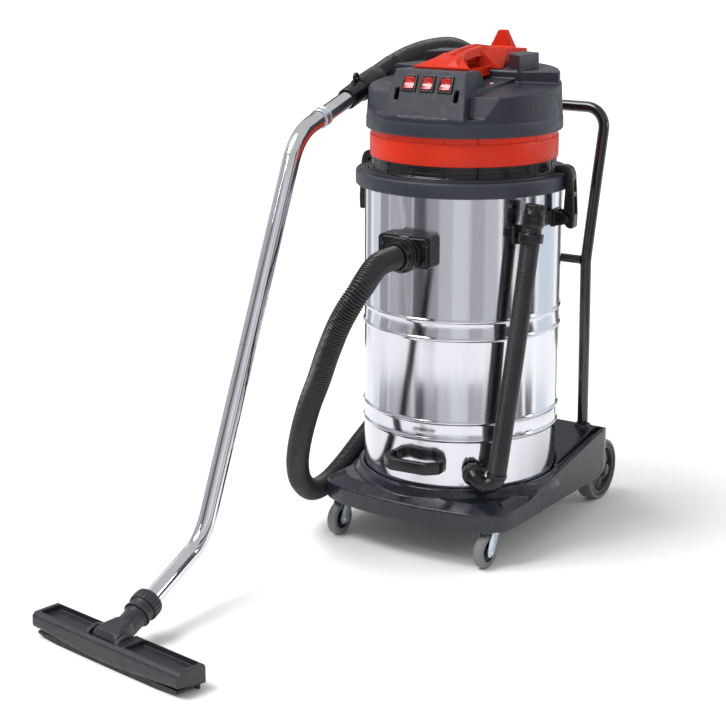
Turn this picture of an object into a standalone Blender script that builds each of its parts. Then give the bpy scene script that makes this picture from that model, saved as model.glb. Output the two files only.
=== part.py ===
"""Wet and dry shop vacuum on a four-wheeled trolley, as separate named sub-parts.

Metres, +Z up, the machine's front towards -Y. The drum's axis is the design axis: every
position below has the drum's axis at X = Y = 0 and the floor at Z = 0. The empty "machine_frame"
then shifts the whole machine so that the origin lies under the middle of its footprint. The
empty "drum_frame" turns the drum and the head a little, as they stand on the trolley.
"""
import math

import bmesh
import bpy
from mathutils import Matrix, Vector

# Driving dimensions, metres and degrees
GAP = 0.0003
FOOTPRINT_SHIFT = (0.0537, 0.3435, 0.0)
DRUM_TURN = 4.3
BIG_SEGMENTS = 32
WHEEL_SEGMENTS = 24
SMALL_SEGMENTS = 16

DRUM_RADIUS = 0.2195
DRUM_WALL = 0.0012
DRUM_FLOOR = 0.150
DRUM_TOP = 0.823
BEAD_HEIGHTS = (0.268, 0.307, 0.494, 0.534)
BEAD_DEPTH = 0.0030

COLLAR_RADIUS = 0.2395
COLLAR_BOTTOM = 0.803
COLLAR_TOP = 0.835
LEDGE_TOP = 0.829

SKIRT_BOTTOM = 0.835
BAND_BOTTOM = 0.8656
BAND_TOP = 0.9266
BAND_RADIUS = 0.208
COVER_BOTTOM = 0.9269
COVER_WALL = 0.003
RIDGE_SLOPE = 0.075
ROOF_SLOPE = 0.140
PANEL_HALF = 0.083
PANEL_SPREAD = 0.145

MOTOR_CIRCLE = 0.095
MOTOR_ANGLES = (90, 210, 330)

INLET_Z = 0.690
INLET_X = -0.012
SOCKET_Z = 0.684
INLET_FRONT = -0.262

LATCH_ANGLE = 93.0
LATCH_PIVOT = (0.2480, 0.740)

DRAIN_ANGLE = 33.4
DRAIN_HOSE_RADIUS = 0.021
DRAIN_HOSE_LOW = (0.2650, 44.0, 0.2070)
DRAIN_HOSE_HIGH = (0.2650, 59.5, 0.7450)

BASE_HALF = 0.238
BASE_BOTTOM = 0.085
BASE_REAR = 0.304
RAIL_FRONT = 0.141
RAIL_RISE = 0.147
RECESS_RADIUS = 0.2212
RIM_RADIUS = 0.2340
RIM_TOP = 0.158

WHEEL_RADIUS = 0.0735
WHEEL_WIDTH = 0.038
WHEEL_X = 0.186
AXLE_Y = 0.338
AXLE_RADIUS = 0.006

CASTER_RADIUS = 0.0375
CASTER_WIDTH = 0.024
CASTER_X = 0.192
CASTER_Y = -0.190
CASTER_TRAIL = 0.022

HANDLE_X = 0.180
HANDLE_TUBE = 0.0125

HOSE_RADIUS = 0.025
WAND_RADIUS = 0.019
WAND_FOOT = (-0.170, -1.000)
WAND_HEADING = (-0.0776, 0.9970)

TOOL_PIVOT = (-0.1680, -1.0280, 0.0440)
TOOL_LENGTH = 0.430
TOOL_TURN = -9.0

MATERIAL_LOOKS = {
    # name: (colour, roughness, metallic)
    "slate_plastic": ((0.060, 0.065, 0.080), 0.45, 0.0),
    "black_plastic": ((0.012, 0.012, 0.014), 0.40, 0.0),
    "red_plastic": ((0.800, 0.050, 0.012), 0.32, 0.0),
    "stainless": ((0.620, 0.620, 0.630), 0.12, 1.0),
    "chrome": ((0.780, 0.780, 0.800), 0.06, 1.0),
    "zinc": ((0.550, 0.570, 0.600), 0.30, 1.0),
    "grey_rubber": ((0.200, 0.200, 0.215), 0.65, 0.0),
    "beige_rubber": ((0.260, 0.250, 0.220), 0.70, 0.0),
    "black_rubber": ((0.014, 0.014, 0.015), 0.60, 0.0),
    "filter_cloth": ((0.700, 0.690, 0.640), 0.95, 0.0),
    "lit_switch": ((0.850, 0.060, 0.030), 0.20, 0.0),
    "aluminium": ((0.600, 0.600, 0.600), 0.35, 1.0),
}


# Scene and object helpers

def clear_scene():
    """Remove whatever the scene holds."""
    for obj in list(bpy.data.objects):
        bpy.data.objects.remove(obj, do_unlink=True)


def new_materials():
    """One Principled material for each finish."""
    made = {}
    for name, (colour, roughness, metallic) in MATERIAL_LOOKS.items():
        material = bpy.data.materials.new(name)
        material.use_nodes = True
        shader = material.node_tree.nodes["Principled BSDF"]
        shader.inputs["Base Color"].default_value = (*colour, 1.0)
        shader.inputs["Roughness"].default_value = roughness
        shader.inputs["Metallic"].default_value = metallic
        made[name] = material
    return made


def new_frame(name, location=(0, 0, 0), turn=0.0, parent=None):
    """An empty that carries a group of parts."""
    frame = bpy.data.objects.new(name, None)
    frame.location = location
    frame.rotation_euler = (0.0, 0.0, math.radians(turn))
    frame.parent = parent
    bpy.context.scene.collection.objects.link(frame)
    return frame


def add(name, bm, material, parent, pivot=(0, 0, 0)):
    """Turn a bmesh into a named object whose origin is its pivot."""
    pivot = Vector(pivot)
    bmesh.ops.translate(bm, vec=-pivot, verts=bm.verts)
    bmesh.ops.recalc_face_normals(bm, faces=bm.faces)
    mesh = bpy.data.meshes.new(name)
    bm.to_mesh(mesh)
    bm.free()
    mesh.materials.append(MATERIALS[material])
    mesh.shade_smooth()
    mesh.set_sharp_from_angle(angle=math.radians(35.0))
    obj = bpy.data.objects.new(name, mesh)
    obj.location = pivot
    obj.parent = parent
    bpy.context.scene.collection.objects.link(obj)
    return obj


def boolean(target, tool, operation):
    """Cut, join or clip a part with another object, which is then only a guide."""
    tool.hide_render = True
    tool.display_type = "WIRE"
    modifier = target.modifiers.new(tool.name, "BOOLEAN")
    modifier.operation = operation
    modifier.solver = "EXACT"
    modifier.object = tool
    return target


def cut(target, bm, label="cut"):
    """Subtract a solid, given as a bmesh in the target's own parent frame."""
    tool = add(target.name + "_" + label, bm, "zinc", target.parent)
    return boolean(target, tool, "DIFFERENCE")


def join(target, bm, label="join"):
    """Unite a solid, given as a bmesh in the target's own parent frame."""
    tool = add(target.name + "_" + label, bm, "zinc", target.parent)
    return boolean(target, tool, "UNION")


# Shape helpers: each returns a closed bmesh

def loft(rings, loop=False):
    """Skin a stack of equal rings. The ends are capped, or joined to each other by loop."""
    bm = bmesh.new()
    rows = [[bm.verts.new(point) for point in ring] for ring in rings]
    pairs = list(zip(rows, rows[1:]))
    if loop:
        pairs.append((rows[-1], rows[0]))
    else:
        bm.faces.new(rows[0][::-1])
        bm.faces.new(rows[-1])
    for low, high in pairs:
        for k in range(len(low)):
            n = (k + 1) % len(low)
            bm.faces.new((low[k], low[n], high[n], high[k]))
    return bm


def circle(radius, z, segments, slope=0.0, centre=(0.0, 0.0)):
    """Ring of points about a vertical axis; slope raises it towards +Y."""
    ring = []
    for k in range(segments):
        angle = 2.0 * math.pi * k / segments
        x, y = radius * math.cos(angle), radius * math.sin(angle)
        ring.append(Vector((x + centre[0], y + centre[1], z + slope * y)))
    return ring


def turned(profile, segments, loop=False, centre=(0.0, 0.0)):
    """Solid of revolution about a vertical axis, from (radius, height) points."""
    return loft([circle(r, z, segments, 0.0, centre) for r, z in profile], loop)


def aimed(bm, origin, direction):
    """Swing a solid that was built along +Z to lie along a direction from an origin."""
    turn = Vector(direction).to_track_quat("Z", "Y").to_matrix().to_4x4()
    bm.transform(Matrix.Translation(Vector(origin)) @ turn)
    return bm


def prism(outline, low, high, axis="z"):
    """Extrude a flat outline along one axis. The outline is (x, y), (y, z) for x, (x, z) for y."""
    place = {"z": lambda a, b, c: Vector((a, b, c)),
             "x": lambda a, b, c: Vector((c, a, b)),
             "y": lambda a, b, c: Vector((a, c, b))}[axis]
    return loft([[place(a, b, c) for a, b in outline] for c in (low, high)])


def block(low, high):
    """Rectangular block between two corners."""
    outline = [(low[0], low[1]), (high[0], low[1]), (high[0], high[1]), (low[0], high[1])]
    return prism(outline, low[2], high[2])


def frames_along(path):
    """A side vector and an up vector at each point of a path, carried without twist."""
    tangents = []
    for k in range(len(path)):
        ahead = path[min(k + 1, len(path) - 1)]
        behind = path[max(k - 1, 0)]
        tangents.append((ahead - behind).normalized())
    side = tangents[0].orthogonal().normalized()
    frames = []
    for tangent in tangents:
        side = (side - tangent * side.dot(tangent)).normalized()
        frames.append((side, tangent.cross(side)))
    return frames


def rings_along(path, radii, segments):
    """Circles of the given radii, square to a path."""
    rings = []
    for point, radius, (side, up) in zip(path, radii, frames_along(path)):
        ring = []
        for k in range(segments):
            angle = 2.0 * math.pi * k / segments
            ring.append(point + radius * (side * math.cos(angle) + up * math.sin(angle)))
        rings.append(ring)
    return rings


def rod(path, radius, segments):
    """Solid round bar along a path."""
    return loft(rings_along(path, [radius] * len(path), segments))


def pipe(path, outer, inner, segments):
    """Open tube along a path; outer and inner are one radius for each point."""
    skin = rings_along(path, outer, segments)
    bore = rings_along(path, inner, segments)
    return loft(skin + bore[::-1], loop=True)


def filleted(corners, radius, steps=4):
    """Straight runs between corners, with an arc of the given radius at each inner corner."""
    corners = [Vector(corner) for corner in corners]
    path = [corners[0]]
    for before, here, after in zip(corners, corners[1:], corners[2:]):
        inward, outward = (before - here).normalized(), (after - here).normalized()
        half = inward.angle(outward) / 2.0
        centre = here + (inward + outward).normalized() * (radius / math.sin(half))
        start = (here + inward * (radius / math.tan(half)) - centre).normalized()
        end = (here + outward * (radius / math.tan(half)) - centre).normalized()
        for k in range(steps + 1):
            path.append(centre + start.slerp(end, k / steps) * radius)
    path.append(corners[-1])
    return path


def smooth_route(points, spacing):
    """Points at even spacing along a smooth curve through hand-placed points."""
    points = [Vector(point) for point in points]
    points = [2 * points[0] - points[1]] + points + [2 * points[-1] - points[-2]]
    fine = []
    for p0, p1, p2, p3 in zip(points, points[1:], points[2:], points[3:]):
        for k in range(20):
            t = k / 20.0
            fine.append(0.5 * (2 * p1 + (p2 - p0) * t + (2 * p0 - 5 * p1 + 4 * p2 - p3) * t * t
                               + (3 * p1 - p0 - 3 * p2 + p3) * t ** 3))
    fine.append(points[-2])
    lengths = [0.0]
    for a, b in zip(fine, fine[1:]):
        lengths.append(lengths[-1] + (b - a).length)
    count = round(lengths[-1] / spacing)
    route = []
    k = 0
    for step in range(count + 1):
        target = min(lengths[-1] * step / count, lengths[-1])
        while k < len(lengths) - 2 and lengths[k + 1] < target:
            k += 1
        share = (target - lengths[k]) / (lengths[k + 1] - lengths[k])
        route.append(fine[k].lerp(fine[k + 1], share))
    return route


def polar(radius, degrees, z):
    """Point at an angle from the front, positive towards +X."""
    angle = math.radians(degrees)
    return Vector((radius * math.sin(angle), -radius * math.cos(angle), z))


def outward(degrees):
    """Horizontal unit vector away from the drum's axis."""
    return polar(1.0, degrees, 0.0)


def about_drum(bm, degrees):
    """Turn a solid built at the front (-Y) round the drum's axis."""
    bm.transform(Matrix.Rotation(math.radians(degrees), 4, "Z"))
    return bm


# Drum, collar and what is fixed to them

def drum():
    """Rolled stainless tank with four beads, open at the top, with its two holes."""
    wall = [(DRUM_RADIUS - 0.0100, DRUM_FLOOR), (DRUM_RADIUS - 0.0020, DRUM_FLOOR + 0.0020),
            (DRUM_RADIUS, DRUM_FLOOR + 0.0090)]
    for z in BEAD_HEIGHTS:
        wall += [(DRUM_RADIUS, z - 0.006), (DRUM_RADIUS + BEAD_DEPTH, z), (DRUM_RADIUS, z + 0.006)]
    inner = DRUM_RADIUS - DRUM_WALL
    profile = ([(0.02, DRUM_FLOOR)] + wall + [(DRUM_RADIUS, DRUM_TOP), (inner, DRUM_TOP)]
               + [(inner, DRUM_FLOOR + 0.010), (inner - 0.010, DRUM_FLOOR + DRUM_WALL)]
               + [(0.02, DRUM_FLOOR + DRUM_WALL)])
    tank = add("drum", turned(profile, BIG_SEGMENTS), "stainless", drum_frame)
    inlet = turned([(0.024, 0.0), (0.024, 0.10)], 16)
    cut(tank, aimed(inlet, (INLET_X, -0.15, SOCKET_Z), (0, -1, 0)), "inlet_hole")
    drain = turned([(0.013, 0.0), (0.013, 0.08)], 12)
    cut(tank, aimed(drain, polar(0.18, DRAIN_ANGLE, 0.197), outward(DRAIN_ANGLE)), "drain_hole")


def drum_collar():
    """Plastic ring over the drum's edge, with the ledge that the filter and gasket lie on."""
    inner = DRUM_RADIUS + 0.0008
    profile = [(inner, COLLAR_BOTTOM), (COLLAR_RADIUS, COLLAR_BOTTOM),
               (COLLAR_RADIUS, COLLAR_TOP - 0.003), (COLLAR_RADIUS - 0.003, COLLAR_TOP),
               (0.2175, COLLAR_TOP + 0.001), (0.2165, COLLAR_TOP + 0.004),
               (0.2130, COLLAR_TOP + 0.004), (0.2130, LEDGE_TOP), (0.1850, LEDGE_TOP),
               (0.1850, DRUM_TOP + GAP), (inner, DRUM_TOP + GAP)]
    add("drum_collar", turned(profile, BIG_SEGMENTS, loop=True), "slate_plastic", drum_frame)


def drum_gasket():
    """Rubber ring between the ledge and the head."""
    low, high = LEDGE_TOP + GAP, SKIRT_BOTTOM - GAP
    profile = [(0.2015, low), (0.2115, low), (0.2115, high), (0.2015, high)]
    add("drum_gasket", turned(profile, BIG_SEGMENTS, loop=True), "black_rubber", drum_frame)


def filter_bag():
    """Cloth bag whose stiff ring lies on the ledge."""
    top = LEDGE_TOP + GAP
    outer = [(0.030, 0.505), (0.120, 0.510), (0.150, 0.560), (0.1660, 0.790), (0.1660, top),
             (0.2000, top), (0.2000, top + 0.003)]
    inner = [(0.1636, top + 0.003), (0.1636, 0.790), (0.1476, 0.562), (0.1185, 0.5125),
             (0.030, 0.5075)]
    add("filter_bag", turned(outer + inner, 24), "filter_cloth", drum_frame)


def inlet_parts():
    """Moulded inlet block on the drum's front, its socket, and the hood behind it."""
    half, bottom, top = 0.0620, INLET_Z - 0.034, INLET_Z + 0.034
    chamfer = 0.008
    outline = [(-half, bottom + 0.006), (-half + 0.006, bottom), (half - 0.006, bottom),
               (half, bottom + 0.006), (half, top - chamfer), (half - chamfer, top),
               (-half + chamfer, top), (-half, top - chamfer)]
    outline = [(INLET_X + x, z) for x, z in outline]
    housing = add("inlet_housing", prism(outline, -0.195, INLET_FRONT, "y"), "black_plastic",
                  drum_frame)
    socket = turned([(0.038, 0.0), (0.038, 0.020), (0.036, 0.022)], 24)
    join(housing, aimed(socket, (INLET_X, INLET_FRONT + 0.012, SOCKET_Z), (0, -1, 0)), "socket")
    cut(housing, turned([(DRUM_RADIUS + GAP + 0.0005, 0.60), (DRUM_RADIUS + GAP + 0.0005, 0.78)],
                        BIG_SEGMENTS), "drum")
    wide = turned([(0.0326, 0.0), (0.0326, 0.08)], 24)
    cut(housing, aimed(wide, (INLET_X, -0.236, SOCKET_Z), (0, -1, 0)), "cuff_bore")
    narrow = turned([(0.0240, 0.0), (0.0240, 0.10)], 16)
    cut(housing, aimed(narrow, (INLET_X, -0.17, SOCKET_Z), (0, -1, 0)), "air_bore")

    hood = add("inlet_deflector", block((-0.055, -0.225, 0.640), (0.035, -0.172, 0.722)),
               "black_plastic", drum_frame)
    cut(hood, block((-0.0525, -0.230, 0.630), (0.0325, -0.1745, 0.7195)), "hollow")
    inside = DRUM_RADIUS - DRUM_WALL - 0.0012
    boolean(hood, add("inlet_deflector_clip", turned([(inside, 0.60), (inside, 0.78)],
                                                     BIG_SEGMENTS), "zinc", drum_frame),
            "INTERSECT")

    cuff = [(0.0205, 0.0), (0.0320, 0.0), (0.0320, 0.0355), (0.0350, 0.0365), (0.0350, 0.0480),
            (0.0310, 0.0500), (0.0295, 0.0640), (0.0205, 0.0640)]
    add("hose_inlet_cuff", aimed(turned(cuff, 24, loop=True), (INLET_X, -0.2365, SOCKET_Z),
                                 (0, -1, 0)), "black_plastic", drum_frame)


def drum_grip():
    """Loop handle low on the drum's front, used to tip the drum."""
    half, depth, low, high = 0.0700, 0.0150, 0.1985, 0.2255
    front = -0.2640
    outer = [(-half, -0.19), (-half, front + 0.020), (-half + 0.020, front),
             (half - 0.020, front), (half, front + 0.020), (half, -0.19)]
    handle = add("drum_grip", prism(outer, low, high), "black_plastic", drum_frame)
    slot_half, slot_front = half - depth, front + depth
    slot = [(-slot_half, -0.23), (-slot_half, slot_front + 0.004), (-slot_half + 0.008, slot_front),
            (slot_half - 0.008, slot_front), (slot_half, slot_front + 0.004), (slot_half, -0.23)]
    for side in (-1, 1):
        pad_x = side * (half - 0.006)
        join(handle, block((pad_x - 0.014, -0.235, low - 0.012), (pad_x + 0.014, -0.195, high + 0.014)),
             "pad_right" if side > 0 else "pad_left")
    cut(handle, prism(slot, low - 0.03, high + 0.03), "finger_gap")
    cut(handle, turned([(DRUM_RADIUS + 0.0008, 0.16), (DRUM_RADIUS + 0.0008, 0.26)], BIG_SEGMENTS),
        "drum")
    cut(handle, block((-slot_half, -0.236, low - 0.03), (slot_half, -0.19, high + 0.03)), "back")


def drain_parts():
    """Drain elbow low on the drum, its hose held upright, the clip and the end plug."""
    low, high = polar(*DRAIN_HOSE_LOW), polar(*DRAIN_HOSE_HIGH)
    middle = (low + high) / 2.0
    bow = outward((DRAIN_HOSE_LOW[1] + DRAIN_HOSE_HIGH[1]) / 2.0) * 0.004
    hose = smooth_route([low, middle + bow, high], 0.06)
    start = (hose[1] - hose[0]).normalized()
    route = [polar(0.2150, DRAIN_ANGLE, 0.197), polar(0.2360, DRAIN_ANGLE, 0.197),
             polar(0.2510, DRAIN_ANGLE + 1.0, 0.190), polar(0.2600, DRAIN_ANGLE + 5.0, 0.178),
             low - start * 0.018, low + start * 0.003]
    path = smooth_route(route, 0.013)
    elbow = add("drain_elbow", rod(path, 0.0190, 12), "black_plastic", drum_frame)
    beyond = turned([(0.030, 0.0), (0.030, 0.020)], 12)
    cut(elbow, aimed(beyond, low - start * GAP, start), "end")
    nut = turned([(0.0250, 0.0), (0.0250, 0.018), (0.0220, 0.021)], 16)
    join(elbow, aimed(nut, polar(0.2270, DRAIN_ANGLE, 0.1970), outward(DRAIN_ANGLE)), "nut")
    cut(elbow, turned([(DRUM_RADIUS + 0.0008, 0.15), (DRUM_RADIUS + 0.0008, 0.25)], BIG_SEGMENTS),
        "drum")

    add("drain_hose", rod(hose, DRAIN_HOSE_RADIUS, 12), "black_rubber", drum_frame)

    upright = (hose[-1] - hose[-2]).normalized()
    plug = [(0.0235, 0.0), (0.0235, 0.028), (0.0205, 0.031), (0.0205, 0.044), (0.0180, 0.047)]
    add("drain_cap", aimed(turned(plug, 16), high + upright * GAP, upright), "black_plastic",
        drum_frame, high)
    grip_point = high - upright * 0.024
    ring = turned([(0.0224, -0.009), (0.0265, -0.009), (0.0265, 0.009), (0.0224, 0.009)], 16,
                  loop=True)
    clip = add("drain_clip", aimed(ring, grip_point, upright), "black_plastic", drum_frame)
    angle = DRAIN_HOSE_HIGH[1]
    stalk = about_drum(block((-0.008, -0.2435, grip_point.z - 0.007),
                             (0.008, -0.2225, grip_point.z + 0.007)), angle)
    join(clip, stalk, "stalk")
    foot = about_drum(block((-0.018, -0.2250, grip_point.z - 0.020),
                            (0.018, -0.2100, grip_point.z + 0.020)), angle)
    join(clip, foot, "foot")
    cut(clip, turned([(DRUM_RADIUS + 0.0008, 0.66), (DRUM_RADIUS + 0.0008, 0.80)], BIG_SEGMENTS),
        "drum")


def latch(side, angle):
    """Bracket on the drum and the curved lever that presses on the head's edge."""
    radius, height = LATCH_PIVOT
    ear_low = [(-DRUM_RADIUS + 0.006, height - 0.016), (-DRUM_RADIUS + 0.006, height + 0.020),
               (-radius - 0.001, height + 0.012), (-radius - 0.009, height),
               (-radius - 0.001, height - 0.010)]
    bracket = add("latch_bracket_" + side, about_drum(prism(ear_low, 0.0145, 0.0195, "x"), angle),
                  "black_plastic", drum_frame)
    join(bracket, about_drum(prism(ear_low, -0.0195, -0.0145, "x"), angle), "second_ear")
    join(bracket, about_drum(block((-0.0203, -DRUM_RADIUS - 0.0045, height - 0.0168),
                                   (0.0203, -0.205, height + 0.0208)), angle), "plate")
    pin = turned([(0.0028, -0.0180), (0.0028, 0.0180)], 12)
    pin.transform(Matrix.Rotation(math.radians(90), 4, "Y"))
    bmesh.ops.translate(pin, vec=(0, -radius, height), verts=pin.verts)
    join(bracket, about_drum(pin, angle), "pin")
    cut(bracket, turned([(DRUM_RADIUS + 0.0008, 0.68), (DRUM_RADIUS + 0.0008, 0.80)],
                        BIG_SEGMENTS), "drum")

    claw_low = COLLAR_TOP + 0.0048
    outline = [(-radius + 0.0080, height - 0.006), (-radius - 0.0020, height - 0.019),
               (-radius - 0.0160, height - 0.020), (-radius - 0.0170, height + 0.010),
               (-0.2620, 0.800), (-0.2590, 0.838), (-0.2530, 0.852), (-0.2400, 0.858),
               (-0.2230, 0.856), (-0.2150, 0.848), (-0.2190, claw_low), (-0.2420, claw_low),
               (-0.2430, 0.800), (-radius + 0.0080, height + 0.010)]
    lever = add("latch_lever_" + side, about_drum(prism(outline, -0.0135, 0.0135, "x"), angle),
                "black_plastic", drum_frame, polar(radius, angle, height))
    bore = turned([(0.0036, -0.03), (0.0036, 0.03)], 12)
    bore.transform(Matrix.Rotation(math.radians(90), 4, "Y"))
    bmesh.ops.translate(bore, vec=(0, -radius, height), verts=bore.verts)
    cut(lever, about_drum(bore, angle), "bore")


# Head

def cover_skin(inset, bottom):
    """Outer form of the head's cover moved inwards by inset: sloping ridge, shoulder and roof."""
    return [circle(0.2165 - inset, bottom, BIG_SEGMENTS),
            circle(0.2165 - inset, 0.9580, BIG_SEGMENTS),
            circle(0.2105 - inset, 1.0050 - inset, BIG_SEGMENTS, RIDGE_SLOPE),
            circle(0.1800 - inset, 1.0380 - inset, BIG_SEGMENTS, ROOF_SLOPE),
            circle(0.0300, 1.0480 - inset, BIG_SEGMENTS, ROOF_SLOPE)]


def panel_outline(grow=0.0):
    """Side view (y, z) of the switch panel block, grown by a clearance."""
    return [(-0.2055 - grow, 0.9680), (-0.1650 - grow, 1.0630 + grow),
            (-0.1000 + grow, 1.0600 + grow), (-0.0600 + grow, 1.0150), (-0.0600 + grow, 1.0000),
            (-0.1500, 0.9680)]


def panel_block(grow=0.0):
    """Switch panel block: its sides spread towards the foot."""
    outline = panel_outline(grow)
    rings = []
    for side in (-1, 1):
        ring = []
        for y, z in outline:
            half = PANEL_HALF + grow + (1.0630 - min(z, 1.0630)) * PANEL_SPREAD
            ring.append(Vector((side * half, y, z)))
        rings.append(ring)
    return loft(rings)


def side_block(side, grow=0.0):
    """Plan outline of the raised block on one side of the roof, and its top height."""
    inner, outer = 0.097 - grow, 0.138 + grow
    return [(side * inner, 0.012 - grow), (side * outer, 0.012 - grow),
            (side * outer, 0.085 + grow), (side * inner, 0.122 + grow)], 1.0790 + grow


def head_shells():
    """Black skirt, red band and slate cover of the motor head."""
    skirt = [(0.1960, SKIRT_BOTTOM), (0.2115, SKIRT_BOTTOM), (0.2115, SKIRT_BOTTOM + 0.006),
             (0.2055, SKIRT_BOTTOM + 0.008), (0.2055, BAND_BOTTOM - GAP),
             (0.1960, BAND_BOTTOM - GAP)]
    add("head_skirt", turned(skirt, BIG_SEGMENTS, loop=True), "black_plastic", drum_frame)

    band = [(0.2040, BAND_BOTTOM), (BAND_RADIUS - 0.0010, BAND_BOTTOM),
            (BAND_RADIUS, BAND_BOTTOM + 0.003), (BAND_RADIUS, BAND_TOP - 0.012),
            (BAND_RADIUS - 0.0015, BAND_TOP - 0.011), (BAND_RADIUS - 0.0015, BAND_TOP),
            (0.2040, BAND_TOP)]
    add("head_band", turned(band, BIG_SEGMENTS, loop=True), "red_plastic", drum_frame)

    outer = cover_skin(0.0, COVER_BOTTOM)
    inner = cover_skin(COVER_WALL, COVER_BOTTOM)
    cover = add("head_cover", loft(outer[::-1] + inner), "slate_plastic", drum_frame)
    cover_join(cover)


def cover_join(cover):
    """Add the switch panel block and the two side blocks, then open the switch pockets."""
    join(cover, panel_block(), "panel")
    for side, label in ((-1, "block_left"), (1, "block_right")):
        outline, top = side_block(side)
        join(cover, prism(outline, 1.0250, top), label)
        step = block((side * 0.1420 - 0.0160, -0.004, 1.0250), (side * 0.1420 + 0.0160, 0.090, 1.0600))
        join(cover, step, "step_" + label)
    hollow = [(-0.1900, 0.9750), (-0.1585, 1.0560), (-0.1050, 1.0540), (-0.0800, 1.0100),
              (-0.0800, 0.9750)]
    cut(cover, prism(hollow, -PANEL_HALF + 0.004, PANEL_HALF - 0.004, "x"), "panel_hollow")
    for x in SWITCH_X:
        half_width, half_height = 0.0155, 0.0173
        pocket = block((-half_width, -half_height, -0.040), (half_width, half_height, 0.020))
        cut(cover, on_panel(pocket, x), "pocket_%03d" % round(1000 * (x + 0.1)))


SWITCH_X = (-0.0437, -0.0010, 0.0417)
PANEL_POINT = (-0.1767, 1.0355)
PANEL_NORMAL = Vector((0.0, -0.9200, 0.3919)).normalized()


def on_panel(bm, x):
    """Place a solid built about the origin, +Z outwards and +Y up, on the panel's face."""
    up = Vector((1, 0, 0)).cross(PANEL_NORMAL) * -1.0
    turn = Matrix((Vector((1, 0, 0)), up, PANEL_NORMAL)).transposed().to_4x4()
    bm.transform(Matrix.Translation(Vector((x, *PANEL_POINT))) @ turn)
    return bm


def switches():
    """Three lit rocker switches, each in its frame."""
    for number, x in enumerate(SWITCH_X, start=1):
        outer_x, outer_y = 0.0168, 0.0186
        rim = block((-outer_x, -outer_y, GAP), (outer_x, outer_y, 0.0030))
        frame = add("switch_frame_%d" % number, on_panel(rim, x), "black_plastic", drum_frame)
        body = block((-0.0148, -0.0166, -0.0180), (0.0148, 0.0166, 0.0010))
        join(frame, on_panel(body, x), "body")
        well = block((-0.0124, -0.0144, -0.0140), (0.0124, 0.0144, 0.0100))
        cut(frame, on_panel(well, x), "well")
        side = [(-0.0122, -0.0100), (0.0122, -0.0100), (0.0129, 0.0038), (0.0, 0.0010),
                (-0.0127, 0.0062), (-0.0127, 0.0010)]
        rocker = prism(side, -0.0114, 0.0114, "x")
        pivot = on_panel_point(x, 0.0, -0.0020)
        add("rocker_%d" % number, on_panel(rocker, x), "lit_switch", drum_frame, pivot)


def on_panel_point(x, along, out):
    """A point on or off the panel's face."""
    up = PANEL_NORMAL.cross(Vector((1, 0, 0)))
    return Vector((x, *PANEL_POINT)) + up * along + PANEL_NORMAL * out


def top_handle():
    """Red carrying handle: wide front foot, bridge over the hand hold, flared tail with a fin."""
    def section(y, low_half, top_half, low, top):
        return [Vector((-low_half, y, low)), Vector((low_half, y, low)),
                Vector((top_half, y, top)), Vector((-top_half, y, top))]
    foot = loft([section(-0.1180, 0.066, 0.064, 1.0500, 1.0640),
                 section(-0.0850, 0.054, 0.034, 1.0400, 1.0820),
                 section(-0.0500, 0.038, 0.026, 1.0350, 1.0920)])
    handle = add("top_handle", foot, "red_plastic", drum_frame)
    bridge = loft([section(-0.0520, 0.0262, 0.020, 1.0740, 1.0910),
                   section(0.0000, 0.0258, 0.019, 1.0780, 1.0965),
                   section(0.0425, 0.0264, 0.020, 1.0775, 1.0985)])
    join(handle, bridge, "bridge")
    tail = loft([section(0.0380, 0.046, 0.0205, 1.0350, 1.0980),
                 section(0.0550, 0.076, 0.0240, 1.0350, 1.0950),
                 section(0.1100, 0.050, 0.0250, 1.0350, 1.0900),
                 section(0.1550, 0.046, 0.0300, 1.0450, 1.0860),
                 section(0.2060, 0.058, 0.0560, 1.0500, 1.0835)])
    join(handle, tail, "tail")
    fin = [(-0.034, 1.074), (0.034, 1.074), (0.008, 1.1230), (-0.008, 1.1230)]
    join(handle, prism(fin, 0.1860, 0.2055, "y"), "fin")
    cut(handle, loft(cover_skin(-GAP, 0.93)), "roof")
    cut(handle, panel_block(GAP), "panel")


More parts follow.
